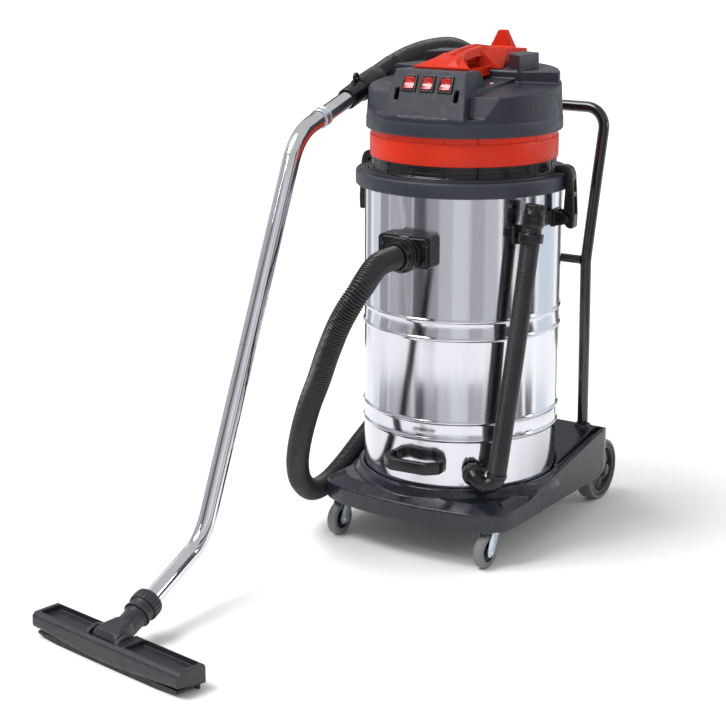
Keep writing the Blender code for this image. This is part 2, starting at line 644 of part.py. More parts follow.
def motors():
    """Plate with the three suction motors and their impellers, and the float cage below it."""
    plate = [(0.2030, BAND_BOTTOM), (0.2030, BAND_BOTTOM + 0.003)]
    carrier = add("motor_plate", turned(plate, BIG_SEGMENTS), "aluminium", drum_frame)
    base = BAND_BOTTOM + 0.0033
    for number, angle in enumerate(MOTOR_ANGLES, start=1):
        centre = polar(MOTOR_CIRCLE, angle, 0.0)
        spot = (centre.x, centre.y)
        eye = turned([(0.0280, 0.85), (0.0280, 0.88)], 16, centre=spot)
        cut(carrier, eye, "eye_%d" % number)
        case = [(0.0300, base), (0.0700, base), (0.0700, base + 0.050), (0.0430, base + 0.052),
                (0.0430, base + 0.108), (0.0100, base + 0.108), (0.0100, base + 0.105),
                (0.0400, base + 0.105), (0.0400, base + 0.047), (0.0670, base + 0.047),
                (0.0670, base + 0.003), (0.0300, base + 0.003)]
        add("motor_%d" % number, turned(case, SMALL_SEGMENTS, loop=True, centre=spot),
            "aluminium", drum_frame)
        spindle = [(0.0200, base + 0.010), (0.0620, base + 0.010), (0.0620, base + 0.024),
                   (0.0060, base + 0.030), (0.0060, base + 0.060), (0.0280, base + 0.060),
                   (0.0280, base + 0.094), (0.0060, base + 0.096), (0.0060, base + 0.1030)]
        add("rotor_%d" % number, turned(spindle, 12, centre=spot), "aluminium", drum_frame,
            (*spot, base))
    top = BAND_BOTTOM - GAP
    cage = [(0.150, top), (0.150, 0.842), (0.052, 0.842), (0.052, 0.745), (0.016, 0.745),
            (0.016, 0.748), (0.049, 0.748), (0.049, 0.845), (0.147, 0.845), (0.147, top)]
    basket = add("float_cage", turned(cage, SMALL_SEGMENTS, loop=True), "black_plastic", drum_frame)
    for turn in (0, 90):
        window = block((-0.012, -0.08, 0.757), (0.012, 0.08, 0.828))
        window.transform(Matrix.Rotation(math.radians(turn), 4, "Z"))
        cut(basket, window, "window_%d" % turn)
    ball = bmesh.new()
    bmesh.ops.create_uvsphere(ball, u_segments=12, v_segments=8, radius=0.028)
    bmesh.ops.translate(ball, vec=(0, 0, 0.7764), verts=ball.verts)
    add("float_ball", ball, "black_rubber", drum_frame, (0, 0, 0.7764))


def cable_gland():
    """Gland at the back of the head where the mains cable enters."""
    profile = [(0.0130, 0.0), (0.0130, 0.006), (0.0100, 0.007), (0.0085, 0.022), (0.0040, 0.022),
               (0.0040, 0.0)]
    gland = turned(profile, 16, loop=True)
    add("cable_gland", aimed(gland, (0.05, 0.2140, 0.985), (0, 1, 0)), "black_rubber", drum_frame)


# Trolley

def base_outline(inset=0.0):
    """Plan of the trolley base: straight sides, rounded corners and a bowed front."""
    half, rear = BASE_HALF - inset, BASE_REAR - inset
    right = [(half - 0.028, rear), (half - 0.008, rear - 0.008), (half, rear - 0.028),
             (half, -0.180), (half - 0.006, -0.203 + inset), (half - 0.024, -0.224 + inset)]
    front = []
    for x in (0.165, 0.110, 0.055, 0.0):
        front.append((x, -0.2630 + inset + 0.024 * (x / 0.190) ** 2))
    half_outline = right + front
    mirrored = [(-x, y) for x, y in half_outline[::-1] if x > 0.0]
    return half_outline + mirrored


def rail_cutter(drop):
    """Everything above the base's top surface, lowered by drop."""
    flat_to, end = -0.090, 0.40
    low = RAIL_FRONT - drop
    high = low + RAIL_RISE * (end - flat_to)
    side_view = [(-0.40, low), (flat_to, low), (end, high), (end, 0.40), (-0.40, 0.40)]
    return prism(side_view, -0.40, 0.40, "x")


def trolley_base():
    """Moulded base: hollow below, a rimmed recess for the drum, axle lugs and tube sockets."""
    wall = 0.004
    cavity_roof = DRUM_FLOOR - GAP - wall
    cavity = add("base_cavity", prism(base_outline(wall), 0.05, 0.25), "zinc", machine)
    cut(cavity, rail_cutter(wall), "rail")
    cut(cavity, turned([(RECESS_RADIUS + wall, cavity_roof), (RECESS_RADIUS + wall, 0.30)],
                       BIG_SEGMENTS), "tub")
    base = add("trolley_base", prism(base_outline(), BASE_BOTTOM, 0.24), "slate_plastic", machine)
    cut(base, rail_cutter(0.0), "rail")
    join(base, turned([(RIM_RADIUS + 0.008, 0.130), (RIM_RADIUS, RIM_TOP - 0.003),
                       (RIM_RADIUS - 0.003, RIM_TOP)], BIG_SEGMENTS), "rim")
    boolean(base, cavity, "DIFFERENCE")
    cut(base, turned([(RECESS_RADIUS, DRUM_FLOOR - GAP), (RECESS_RADIUS, 0.30)], BIG_SEGMENTS),
        "recess")
    for side, label in ((-1, "left"), (1, "right")):
        boss = turned([(0.019, 0.155), (0.019, 0.205)], 16, centre=(side * HANDLE_X, 0.268))
        join(base, boss, "boss_" + label)
        arch = turned([(0.083, 0.160), (0.083, 0.2115)], 24)
        cut(base, aimed(arch, (0, AXLE_Y, WHEEL_RADIUS), (side, 0, 0)), "arch_" + label)
        notch = [(0.245, 0.080), (0.258, 0.0880), (0.310, 0.1090), (0.330, 0.080)]
        near, far = sorted((side * 0.200, side * 0.260))
        cut(base, prism(notch, near, far, "x"), "notch_" + label)
        lug = [(0.262, 0.172), (0.262, 0.120), (AXLE_Y - 0.012, WHEEL_RADIUS - 0.010),
               (AXLE_Y, WHEEL_RADIUS - 0.014), (AXLE_Y + 0.012, WHEEL_RADIUS - 0.008),
               (AXLE_Y + 0.014, WHEEL_RADIUS + 0.006), (0.3085, 0.165)]
        inner, outer = sorted((side * 0.128, side * 0.142))
        join(base, prism(lug, inner, outer, "x"), "lug_" + label)
        foot = block((side * CASTER_X - 0.034, CASTER_Y - 0.028, BASE_BOTTOM + 0.0002),
                     (side * CASTER_X + 0.034, CASTER_Y + 0.034, 0.138))
        join(base, foot, "caster_boss_" + label)
        socket = rod([Vector((side * HANDLE_X, 0.2700, 0.1640)),
                      Vector((side * HANDLE_X, 0.2666, 0.2900))], HANDLE_TUBE + 0.0010, 12)
        cut(base, socket, "socket_" + label)
    hole = turned([(AXLE_RADIUS + 0.0008, -0.30), (AXLE_RADIUS + 0.0008, 0.30)], 16)
    cut(base, aimed(hole, (0, AXLE_Y, WHEEL_RADIUS), (1, 0, 0)), "axle_hole")


def rear_wheels():
    """Axle through the base's lugs with a domed cap on each end, two hubs and two tyres."""
    reach = WHEEL_X + WHEEL_WIDTH / 2.0 + 0.0004
    shaft = [(AXLE_RADIUS, 0.0), (AXLE_RADIUS, reach), (0.0165, reach), (0.0165, reach + 0.004),
             (0.012, reach + 0.0085), (0.002, reach + 0.0095)]
    axle = turned([(r, -x) for r, x in shaft[:0:-1]] + shaft, 12)
    add("rear_axle", aimed(axle, (0, AXLE_Y, WHEEL_RADIUS), (1, 0, 0)), "zinc", machine)
    half = WHEEL_WIDTH / 2.0
    rim = WHEEL_RADIUS - 0.012
    for side, label in ((-1, "left"), (1, "right")):
        pivot = (side * WHEEL_X, AXLE_Y, WHEEL_RADIUS)
        direction = (side, 0, 0)
        tyre = [(rim, -half), (WHEEL_RADIUS - 0.004, -half), (WHEEL_RADIUS, -half + 0.004),
                (WHEEL_RADIUS, half - 0.004), (WHEEL_RADIUS - 0.004, half), (rim, half)]
        add("rear_tyre_" + label, aimed(turned(tyre, WHEEL_SEGMENTS, loop=True), pivot,
                                          direction),
            "beige_rubber", machine, pivot)
        inner = rim - 0.0004
        hub = [(AXLE_RADIUS + 0.0006, -half), (0.016, -half), (inner - 0.006, -0.004),
               (inner, -half + 0.002), (inner, half - 0.002), (inner - 0.006, 0.004),
               (0.016, half), (AXLE_RADIUS + 0.0006, half)]
        add("rear_hub_" + label, aimed(turned(hub, WHEEL_SEGMENTS, loop=True), pivot, direction),
            "black_plastic", machine, pivot)


def casters():
    """Swivel casters under the front corners: plate, fork, hub and tyre."""
    for side, label in ((-1, "left"), (1, "right")):
        x = side * CASTER_X
        plate_top = BASE_BOTTOM - GAP
        plate_low = plate_top - 0.003
        add("caster_plate_" + label,
            block((x - 0.028, CASTER_Y - 0.022, plate_low), (x + 0.028, CASTER_Y + 0.022, plate_top)),
            "zinc", machine)
        pivot = (x, CASTER_Y, plate_low)
        crown_top = plate_low - GAP
        head = turned([(0.020, crown_top - 0.0030), (0.020, crown_top)], 16, centre=(x, CASTER_Y))
        fork = add("caster_fork_" + label, head, "zinc", machine, pivot)
        axle_y = CASTER_Y - CASTER_TRAIL
        inside = CASTER_WIDTH / 2.0 + 0.0015
        outside = inside + 0.0022
        cheek = [(CASTER_Y + 0.014, crown_top - 0.0020), (CASTER_Y - 0.016, crown_top - 0.0020),
                 (axle_y - 0.009, CASTER_RADIUS + 0.004), (axle_y - 0.005, CASTER_RADIUS - 0.008),
                 (axle_y + 0.005, CASTER_RADIUS - 0.008), (axle_y + 0.011, CASTER_RADIUS)]
        for near, far, name in ((x + inside, x + outside, "cheek_a"),
                                (x - outside, x - inside, "cheek_b")):
            join(fork, prism(cheek, near, far, "x"), name)
        pin = turned([(0.0030, -outside - 0.001), (0.0030, outside + 0.001)], 12)
        join(fork, aimed(pin, (x, axle_y, CASTER_RADIUS), (1, 0, 0)), "pin")
        wheel_pivot = (x, axle_y, CASTER_RADIUS)
        half = CASTER_WIDTH / 2.0
        tyre = [(0.0240, -half + 0.002), (0.0345, -half + 0.001), (CASTER_RADIUS, -half + 0.006),
                (CASTER_RADIUS, half - 0.006), (0.0345, half - 0.001), (0.0240, half - 0.002)]
        add("caster_tyre_" + label, aimed(turned(tyre, SMALL_SEGMENTS, loop=True), wheel_pivot, (1, 0, 0)),
            "grey_rubber", machine, wheel_pivot)
        hub = [(0.0037, -half), (0.0110, -half), (0.0235, -half + 0.004), (0.0235, half - 0.004),
               (0.0110, half), (0.0037, half)]
        add("caster_hub_" + label, aimed(turned(hub, SMALL_SEGMENTS, loop=True), wheel_pivot, (1, 0, 0)),
            "black_plastic", machine, wheel_pivot)


def push_handle():
    """Tubular push handle that stands in the base's sockets, with its welded brace."""
    def upright(side):
        return [Vector((side * HANDLE_X, y, z)) for y, z in
                ((0.2700, 0.1650), (0.2580, 0.6000), (0.3000, 0.7800), (0.3400, 0.9430))]
    corners = upright(1) + upright(-1)[::-1]
    path = filleted(corners, 0.050, steps=3)
    outer = [HANDLE_TUBE] * len(path)
    inner = [HANDLE_TUBE - 0.0015] * len(path)
    handle = add("push_handle", pipe(path, outer, inner, 10), "black_plastic", machine)
    reach = HANDLE_X - HANDLE_TUBE + 0.0012
    brace = turned([(0.010, -reach), (0.010, reach)], 10)
    join(handle, aimed(brace, (0, 0.2595, 0.600), (1, 0, 0)), "brace")


# Suction hose, wand and floor tool

HOSE_ROUTE = [
    (0.0107, -0.3012, 0.6840), (0.0160, -0.3700, 0.6825), (0.0265, -0.4220, 0.6680),
    (0.0230, -0.4600, 0.6380), (0.0010, -0.4750, 0.5945), (-0.0250, -0.4780, 0.5430),
    (-0.0540, -0.4700, 0.4795), (-0.0880, -0.4550, 0.4150), (-0.1270, -0.4300, 0.3540),
    (-0.1740, -0.3900, 0.2720), (-0.2100, -0.3500, 0.2090), (-0.2400, -0.3000, 0.1485),
    (-0.2560, -0.2421, 0.1038), (-0.2665, -0.1757, 0.0881), (-0.2710, -0.0950, 0.1070),
    (-0.2790, 0.0000, 0.1420), (-0.2880, 0.1200, 0.1900), (-0.2850, 0.2250, 0.2600),
    (-0.2630, 0.3250, 0.3650), (-0.2330, 0.4000, 0.4950), (-0.2100, 0.4420, 0.6400),
    (-0.1960, 0.4600, 0.7800), (-0.1950, 0.4580, 0.8950), (-0.2020, 0.4330, 0.9850),
    (-0.2160, 0.3930, 1.0380), (-0.2330, 0.3400, 1.0600), (-0.2470, 0.2830, 1.0620),
    (-0.2570, 0.2250, 1.0560), (-0.2600, 0.1750, 1.0490), (-0.2590, 0.1434, 1.0436),
    (-0.2568, 0.1148, 1.0364)]


def wand_point(along, height):
    """Point of the wand's upright plane: distance along its heading from the tool, and height."""
    return Vector((WAND_FOOT[0] + WAND_HEADING[0] * along,
                   WAND_FOOT[1] + WAND_HEADING[1] * along, height))


WAND_LOW = (0.0780, 0.0692)
WAND_KNEE = (0.2879, 0.1391)
WAND_ELBOW = (0.6795, 0.9267)
WAND_HIGH = (0.9300, 0.9893)
SEAM_SHARE = 0.4700
WAND_BEND = 0.130


def drum_frame_vector(x, y):
    """A horizontal vector given in the turned drum's frame."""
    return Matrix.Rotation(math.radians(DRUM_TURN), 3, "Z") @ Vector((x, y, 0.0))


def wand_heading():
    """Direction of the wand's upper end, towards the hose."""
    return (wand_point(*WAND_HIGH) - wand_point(*WAND_ELBOW)).normalized()


def suction_hose():
    """Corrugated suction hose as a plain tube along its route, from the inlet to the wand."""
    curve = bpy.data.curves.new("suction_hose", "CURVE")
    curve.dimensions = "3D"
    curve.bevel_depth = HOSE_RADIUS
    curve.bevel_resolution = 4
    curve.use_fill_caps = True
    spline = curve.splines.new("POLY")
    route = smooth_route(HOSE_ROUTE, 0.080)
    route.insert(1, route[0] + drum_frame_vector(0.0, -0.010))
    route.insert(-1, route[-1] + wand_heading() * 0.010)
    spline.points.add(len(route) - 1)
    for target, point in zip(spline.points, route):
        target.co = (*point, 1.0)
    curve.materials.append(MATERIALS["black_rubber"])
    hose = bpy.data.objects.new("suction_hose", curve)
    hose.parent = machine
    bpy.context.scene.collection.objects.link(hose)


def wand_parts():
    """Two bent chromed tubes, the cuff that turns on the upper one, and the air slider."""
    knee, elbow = wand_point(*WAND_KNEE), wand_point(*WAND_ELBOW)
    seam = knee.lerp(elbow, SEAM_SHARE)
    rise = (elbow - knee).normalized()
    bore = WAND_RADIUS - 0.0012
    lower = filleted([wand_point(*WAND_LOW), knee, seam], WAND_BEND)
    add("wand_lower", pipe(lower, [WAND_RADIUS] * len(lower), [bore] * len(lower), 12), "chrome",
        machine)
    upper = filleted([seam + rise * GAP, elbow, wand_point(*WAND_HIGH)], WAND_BEND)
    spigot = [seam - rise * 0.045, seam + rise * 0.0002]
    outer = [bore - 0.0007] * 2 + [WAND_RADIUS] * len(upper)
    inner = [bore - 0.0018] * 2 + [bore] * len(upper)
    add("wand_upper", pipe(spigot + upper, outer, inner, 12), "chrome", machine)

    heading = wand_heading()
    cuff = [(WAND_RADIUS + 0.0008, 0.0), (0.0235, 0.0), (0.0240, 0.060), (0.0265, 0.062),
            (0.0280, 0.130), (0.0265, 0.230), (0.0180, 0.230), (0.0180, 0.060),
            (WAND_RADIUS + 0.0008, 0.058)]
    start = wand_point(0.8946, 0.9805)
    add("hose_end_cuff", aimed(turned(cuff, SMALL_SEGMENTS, loop=True), start, heading), "black_plastic",
        machine)
    slider = [(WAND_RADIUS + 0.0006, -0.011), (WAND_RADIUS + 0.0030, -0.011),
              (WAND_RADIUS + 0.0030, 0.011), (WAND_RADIUS + 0.0006, 0.011)]
    spot = wand_point(0.7830, 0.9267 + (0.7830 - 0.6795) * 0.25)
    add("air_slider", aimed(turned(slider, 16, loop=True), spot, heading), "chrome", machine, spot)


def tool_turned(bm):
    """Turn a solid about the upright line through the tool's pivot, as the tool stands."""
    spot = Matrix.Translation(Vector(TOOL_PIVOT))
    bm.transform(spot @ Matrix.Rotation(math.radians(TOOL_TURN), 4, "Z") @ spot.inverted())
    return bm


def tool_parts():
    """Floor tool: locking collar and neck on the wand, and the wide body that tilts on them."""
    low, knee = wand_point(*WAND_LOW), wand_point(*WAND_KNEE)
    axis = (knee - low).normalized()
    pivot = Vector(TOOL_PIVOT)
    mouth = wand_point(0.1004, 0.0767)
    collar = [(WAND_RADIUS + 0.0008, 0.0), (0.0300, 0.0), (0.0315, -0.006), (0.0315, -0.040),
              (0.0285, -0.044), (0.0285, -0.048), (WAND_RADIUS + 0.0008, -0.048)]
    add("tool_collar", aimed(turned(collar, SMALL_SEGMENTS, loop=True), mouth, axis), "black_plastic", machine,
        mouth)
    top = mouth - axis * 0.0490
    neck_path = [top, top - axis * 0.018, pivot + Vector((0, 0.030, 0.0042)), pivot]
    neck = add("tool_neck", rod(neck_path, 0.0240, 16), "black_plastic", machine, top)
    barrel = turned([(0.0205, -0.034), (0.0205, 0.034)], 16)
    join(neck, tool_turned(aimed(barrel, pivot, (1, 0, 0))), "barrel")
    bore = rod([top + axis * 0.01, top - axis * 0.016], 0.0175, 12)
    cut(neck, bore, "bore")

    half = TOOL_LENGTH / 2.0
    centre_x, centre_y = pivot.x + 0.0135, pivot.y
    back, front = centre_y + 0.036, centre_y - 0.036
    side_view = [(back, 0.0140), (back, 0.0460), (back - 0.006, 0.0520), (front + 0.012, 0.0520),
                 (front + 0.002, 0.0440), (front, 0.0200), (front + 0.003, 0.0140)]
    body = add("tool_body", tool_turned(prism(side_view, centre_x - half, centre_x + half, "x")),
               "black_plastic", machine, pivot)
    for side in (-1, 1):
        label = "right" if side > 0 else "left"
        inner, outer = sorted((side * 0.055, side * (half - 0.016)))
        cut(body, tool_turned(block((centre_x + inner, centre_y - 0.014, 0.0440),
                                    (centre_x + outer, centre_y + 0.024, 0.0700))), "tray_" + label)
        end = centre_x + side * half
        corner = [(end - side * 0.016, front - 0.01), (end + side * 0.01, front - 0.01),
                  (end + side * 0.01, front + 0.014)]
        cut(body, tool_turned(prism(corner, 0.0, 0.1)), "corner_" + label)
    cut(body, tool_turned(block((pivot.x - 0.037, centre_y - 0.0240, 0.0180),
                                (pivot.x + 0.037, centre_y + 0.050, 0.0900))), "yoke")
    join(body, tool_turned(block((pivot.x - 0.045, centre_y + 0.0240, 0.0140),
                                 (pivot.x + 0.045, back, 0.0180))), "rear_bar")
    blades = block((centre_x - half + 0.010, back - 0.012, 0.0), (centre_x + half - 0.010, back - 0.006,
                                                                 0.0137))
    strip = add("tool_squeegee", tool_turned(blades), "black_rubber", machine, pivot)
    join(strip, tool_turned(block((centre_x - half + 0.010, front + 0.008, 0.0),
                                  (centre_x + half - 0.010, front + 0.014, 0.0137))), "front_strip")
    for side, label in ((-1, "left"), (1, "right")):
        start, end = sorted((side * (half - 0.016), side * (half - 0.010)))
        join(strip, tool_turned(block((centre_x + start, front + 0.008, 0.0080),
                                      (centre_x + end, back - 0.006, 0.0137))), "end_strip_" + label)


clear_scene()
MATERIALS = new_materials()
machine = new_frame("machine_frame", FOOTPRINT_SHIFT)
drum_frame = new_frame("drum_frame", turn=DRUM_TURN, parent=machine)

drum()
drum_collar()
drum_gasket()
filter_bag()
inlet_parts()
drum_grip()
drain_parts()
latch("left", -LATCH_ANGLE)
latch("right", LATCH_ANGLE)

head_shells()
switches()
top_handle()
motors()
cable_gland()

trolley_base()
rear_wheels()
casters()
push_handle()

suction_hose()
wand_parts()
tool_parts()
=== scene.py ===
"""Looks of the wet and dry shop vacuum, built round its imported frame.

Metres, +Z up, the machine's front towards -Y. Most shapes are made in the design frame, with
the drum's axis at X = Y = 0 and the floor at Z = 0, and then placed: TROLLEY shifts a shape to
the drum's axis, and TANK also turns it with the drum and the head.
"""
import math

import bmesh
import bpy
from mathutils import Matrix, Vector


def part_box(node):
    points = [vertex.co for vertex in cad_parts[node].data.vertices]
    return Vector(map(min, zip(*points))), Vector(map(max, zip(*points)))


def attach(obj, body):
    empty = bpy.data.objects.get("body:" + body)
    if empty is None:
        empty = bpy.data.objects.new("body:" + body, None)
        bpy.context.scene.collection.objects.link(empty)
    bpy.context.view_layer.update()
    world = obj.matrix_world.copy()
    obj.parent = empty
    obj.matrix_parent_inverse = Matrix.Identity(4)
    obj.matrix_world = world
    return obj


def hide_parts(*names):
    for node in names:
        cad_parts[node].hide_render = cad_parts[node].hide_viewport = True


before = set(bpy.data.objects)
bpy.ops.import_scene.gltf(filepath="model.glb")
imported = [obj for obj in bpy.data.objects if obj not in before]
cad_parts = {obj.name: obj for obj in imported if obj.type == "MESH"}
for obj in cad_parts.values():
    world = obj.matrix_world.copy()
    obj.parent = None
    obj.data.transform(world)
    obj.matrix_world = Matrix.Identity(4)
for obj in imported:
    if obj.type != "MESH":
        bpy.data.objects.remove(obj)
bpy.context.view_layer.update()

drum_low, drum_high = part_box("drum")
AXIS = Vector(((drum_low.x + drum_high.x) / 2, (drum_low.y + drum_high.y) / 2, 0.0))
DRUM_TURN = 4.3
TROLLEY = Matrix.Translation(AXIS)
TANK = TROLLEY @ Matrix.Rotation(math.radians(DRUM_TURN), 4, "Z")

# Driving dimensions, as in the frame
DRUM_RADIUS = 0.2195
DRUM_FLOOR = 0.15
DRUM_TOP = 0.823
BEAD_HEIGHTS = (0.268, 0.307, 0.494, 0.534)
COLLAR_RADIUS, COLLAR_BOTTOM, LEDGE = 0.2395, 0.803, 0.8293
BAND_LOW, BAND_HIGH, BAND_RADIUS = 0.8656, 0.9266, 0.208
PANEL_HALF, PANEL_SPREAD = 0.083, 0.145
PANEL_POINT = (-0.1767, 1.0355)
PANEL_NORMAL = Vector((0.0, -0.92, 0.3919)).normalized()
SWITCH_X = (-0.0437, -0.001, 0.0417)
SEAM_STEP, SEAM_START = 20.0, -6.0
RIDGE_SLOPE = 0.07
FACE_SPOT, FACE_NORMAL = (0.1427, -0.1547, 0.995), (0.141, -0.889, 0.434)
INLET_X, INLET_Z, SOCKET_Z = -0.012, 0.69, 0.684
LATCH_RADIUS, LATCH_Z, LATCH_ANGLE = 0.248, 0.74, 93.0
DRAIN_ANGLE = 33.4
DRAIN_HOSE_LOW = (0.265, 44.0, 0.207)
DRAIN_HOSE_HIGH = (0.265, 59.5, 0.745)
WHEEL_RADIUS, WHEEL_WIDTH, WHEEL_X, AXLE_Y = 0.0735, 0.038, 0.186, 0.338
CASTER_RADIUS, CASTER_WIDTH, CASTER_X, CASTER_Y, CASTER_TRAIL = 0.0375, 0.024, 0.192, -0.19, 0.022
HANDLE_X, HANDLE_TUBE = 0.18, 0.0125
WAND_RADIUS = 0.019
WAND_FOOT, WAND_HEADING = (-0.17, -1.0), (-0.0776, 0.997)
WAND_LOW, WAND_KNEE = (0.078, 0.0692), (0.2879, 0.1391)
WAND_ELBOW, WAND_HIGH = (0.6795, 0.9267), (0.93, 0.9893)
WAND_BEND, SEAM_SHARE = 0.13, 0.47
TOOL_PIVOT, TOOL_LENGTH, TOOL_TURN = Vector((-0.168, -1.028, 0.044)), 0.43, -9.0
HOSE_DIAMETER, HOSE_RIB, HOSE_PITCH, HOSE_BORE = 0.05, 0.0032, 0.0062, 0.019
DRAIN_RADIUS, DRAIN_RIB, DRAIN_PITCH, DRAIN_BORE, DRAIN_Z = 0.021, 0.0016, 0.0042, 0.016, 0.197
SLIDER_ALONG, CUFF_START, COLLAR_MOUTH = 0.783, (0.8946, 0.9805), (0.1004, 0.0767)
SCREW_SPOT, GLAND_SPOT = (0.079, -0.03, 1.0262), (0.05, 0.214, 0.985)
MOTOR_RING, MOTOR_ANGLES = 0.095, (90, 210, 330)


# Gaps, skins of mouldings, and angles above which an edge stays sharp
GAP, CUT_GAP, COVER_WALL = 0.0003, 0.0008, 0.009
SKIN_FINE, SKIN_FITTING, SKIN_TOOL, SKIN_HEAD, SKIN_BASE = 0.001, 0.0011, 0.0012, 0.0014, 0.0019
SHARP, SHARP_LATHE, SHARP_TUBE = 38.0, 30.0, 50.0

# Camera and light
EYE, HEADING, PITCH = (1.981, -3.403, 1.448), 33.457, 15.125
SENSOR, FOCAL_LENGTH = 36.0, 88.44
FLOOR_REACH, SURROUND_STRENGTH = 45.0, 0.62
SUN_STRENGTH, SUN_SPREAD, SUN_DIRECTION = 2.5, 34.0, (0.42, 0.4, -1.0)
CARD_DISTANCE, CARD_HEIGHT = 1.65, 1.9
CARDS = ((-126, 0.42, (0.08, 0.08, 0.09)), (-104, 0.4, (0.42, 0.44, 0.48)), (-84, 0.36, (0.86, 0.9, 0.98)),
        (-67, 0.47, (0.42, 0.42, 0.45)), (-50, 0.46, (0.56, 0.56, 0.6)), (-34, 0.48, (0.4, 0.4, 0.43)),
        (-17, 0.44, (0.13, 0.13, 0.14)), (-2, 0.44, (0.44, 0.44, 0.46)), (13, 0.47, (0.66, 0.66, 0.69)),
        (30, 0.5, (0.84, 0.84, 0.87)), (46, 0.44, (0.56, 0.56, 0.58)), (61, 0.46, (0.7, 0.7, 0.74)),
        (80, 0.36, (0.05, 0.05, 0.06)), (98, 0.26, (0.22, 0.22, 0.24)), (112, 0.3, (0.05, 0.05, 0.06)),
        (140, 1.0, (0.84, 0.92, 1.0)), (176, 0.4, (0.18, 0.17, 0.17)), (-160, 0.8, (0.5, 0.5, 0.52)))


# ---------------------------------------------------------------- camera, floor and light

def camera():
    """Camera at the machine's right front, looking down at about fifteen degrees."""
    eye = AXIS + Vector(EYE)
    heading, pitch = math.radians(HEADING), math.radians(PITCH)
    data = bpy.data.cameras.new("camera")
    data.sensor_width, data.lens = SENSOR, FOCAL_LENGTH
    obj = bpy.data.objects.new("camera", data)
    look = Vector((-math.sin(heading) * math.cos(pitch), math.cos(heading) * math.cos(pitch),
            -math.sin(pitch)))
    obj.location = eye
    obj.rotation_mode = "QUATERNION"
    obj.rotation_quaternion = look.to_track_quat("-Z", "Y")
    bpy.context.scene.collection.objects.link(obj)
    bpy.context.scene.camera = obj


def area_light(name, place, target, size, power):
    """Soft square light aimed at a point."""
    data = bpy.data.lights.new(name, "AREA")
    data.shape, data.size, data.energy = "SQUARE", size, power
    obj = bpy.data.objects.new(name, data)
    obj.location = AXIS + Vector(place)
    obj.rotation_mode = "QUATERNION"
    obj.rotation_quaternion = (Vector(target) - Vector(place)).to_track_quat("-Z", "Y")
    bpy.context.scene.collection.objects.link(obj)


def reflector_card(name, azimuth, width, shade):
    """Upright card that only mirrors and gloss see: it gives the steel its bands."""
    across = Vector((math.cos(math.radians(azimuth)), math.sin(math.radians(azimuth)), 0.0))
    centre = AXIS + polar(CARD_DISTANCE, azimuth, 0.0)
    bm = bmesh.new()
    corners = [centre + across * (s * width / 2.0) + Vector((0, 0, z)) for s,
            z in ((-1, 0.001), (1, 0.001), (1, CARD_HEIGHT), (-1, CARD_HEIGHT))]
    bm.faces.new([bm.verts.new(corner) for corner in corners])
    obj = mesh_object(name, bm)
    made = bpy.data.materials.new(name)
    made.use_nodes = True
    tree = made.node_tree
    tree.nodes.clear()
    glow = add_node(tree, "Emission", in_Color=(*shade, 1.0))
    out = add_node(tree, "OutputMaterial")
    tree.links.new(glow.outputs["Emission"], out.inputs["Surface"])
    obj.data.materials.append(made)
    for flag in ("visible_camera", "visible_diffuse", "visible_shadow", "visible_transmission"):
        setattr(obj, flag, False)


def studio():
    """Pale floor, white surroundings, soft lights and the cards."""
    scene = bpy.context.scene
    scene.view_settings.view_transform = "Standard"
    bm = bmesh.new()
    bm.faces.new([bm.verts.new((x * FLOOR_REACH, y * FLOOR_REACH, 0.0)) for x,
            y in ((-1, -1), (1, -1), (1, 1), (-1, 1))])
    floor = mesh_object("floor", bm)
    floor.data.materials.append(material("floor_paper", (0.93, 0.93, 0.93), 0.9, grain=(300, 0.01),
            vary=0.0, scuff=0.02))
    world = bpy.data.worlds.new("studio")
    world.use_nodes = True
    background = world.node_tree.nodes["Background"]
    background.inputs["Color"].default_value = (1.0, 1.0, 1.0, 1.0)
    background.inputs["Strength"].default_value = SURROUND_STRENGTH
    scene.world = world
    sun = bpy.data.lights.new("sun", "SUN")
    sun.energy, sun.angle = SUN_STRENGTH, math.radians(SUN_SPREAD)
    lamp = bpy.data.objects.new("sun", sun)
    lamp.rotation_mode = "QUATERNION"
    lamp.rotation_quaternion = Vector(SUN_DIRECTION).to_track_quat("-Z", "Y")
    scene.collection.objects.link(lamp)
    area_light("strip", (-0.9, -2.4, 2.6), (0, 0, 0.9), 0.5, 9.0)
    area_light("rim", (2.4, 1.2, 1.6), (0, 0, 0.7), 0.6, 9.0)
    for number, (azimuth, width, shade) in enumerate(CARDS, start=1):
        reflector_card("card_%d" % number, azimuth, width, shade)


# ---------------------------------------------------------------- shape helpers


# ---------------------------------------------------------------- shape helpers

def mesh_object(name, bm):
    """Link a bmesh as an object, its faces pointing out."""
    bmesh.ops.recalc_face_normals(bm, faces=bm.faces)
    mesh = bpy.data.meshes.new(name)
    bm.to_mesh(mesh)
    bm.free()
    obj = bpy.data.objects.new(name, mesh)
    bpy.context.scene.collection.objects.link(obj)
    return obj


def settled(obj):
    """Apply an object's modifiers."""
    graph = bpy.context.evaluated_depsgraph_get()
    mesh = bpy.data.meshes.new_from_object(obj.evaluated_get(graph))
    obj.modifiers.clear()
    obj.data = mesh
    return obj


def combine(obj, other, operation="DIFFERENCE"):
    """Cut, join or clip an object with a solid, given as a bmesh or as an object that is used up."""
    tool = mesh_object("tool", other) if isinstance(other, bmesh.types.BMesh) else other
    modifier = obj.modifiers.new("combine", "BOOLEAN")
    modifier.operation, modifier.solver, modifier.object = operation, "EXACT", tool
    settled(obj)
    bpy.data.objects.remove(tool)
    return obj


def join(obj, *others):
    """Weld more solids to an object."""
    for other in others:
        combine(obj, other, operation="UNION")
    return obj


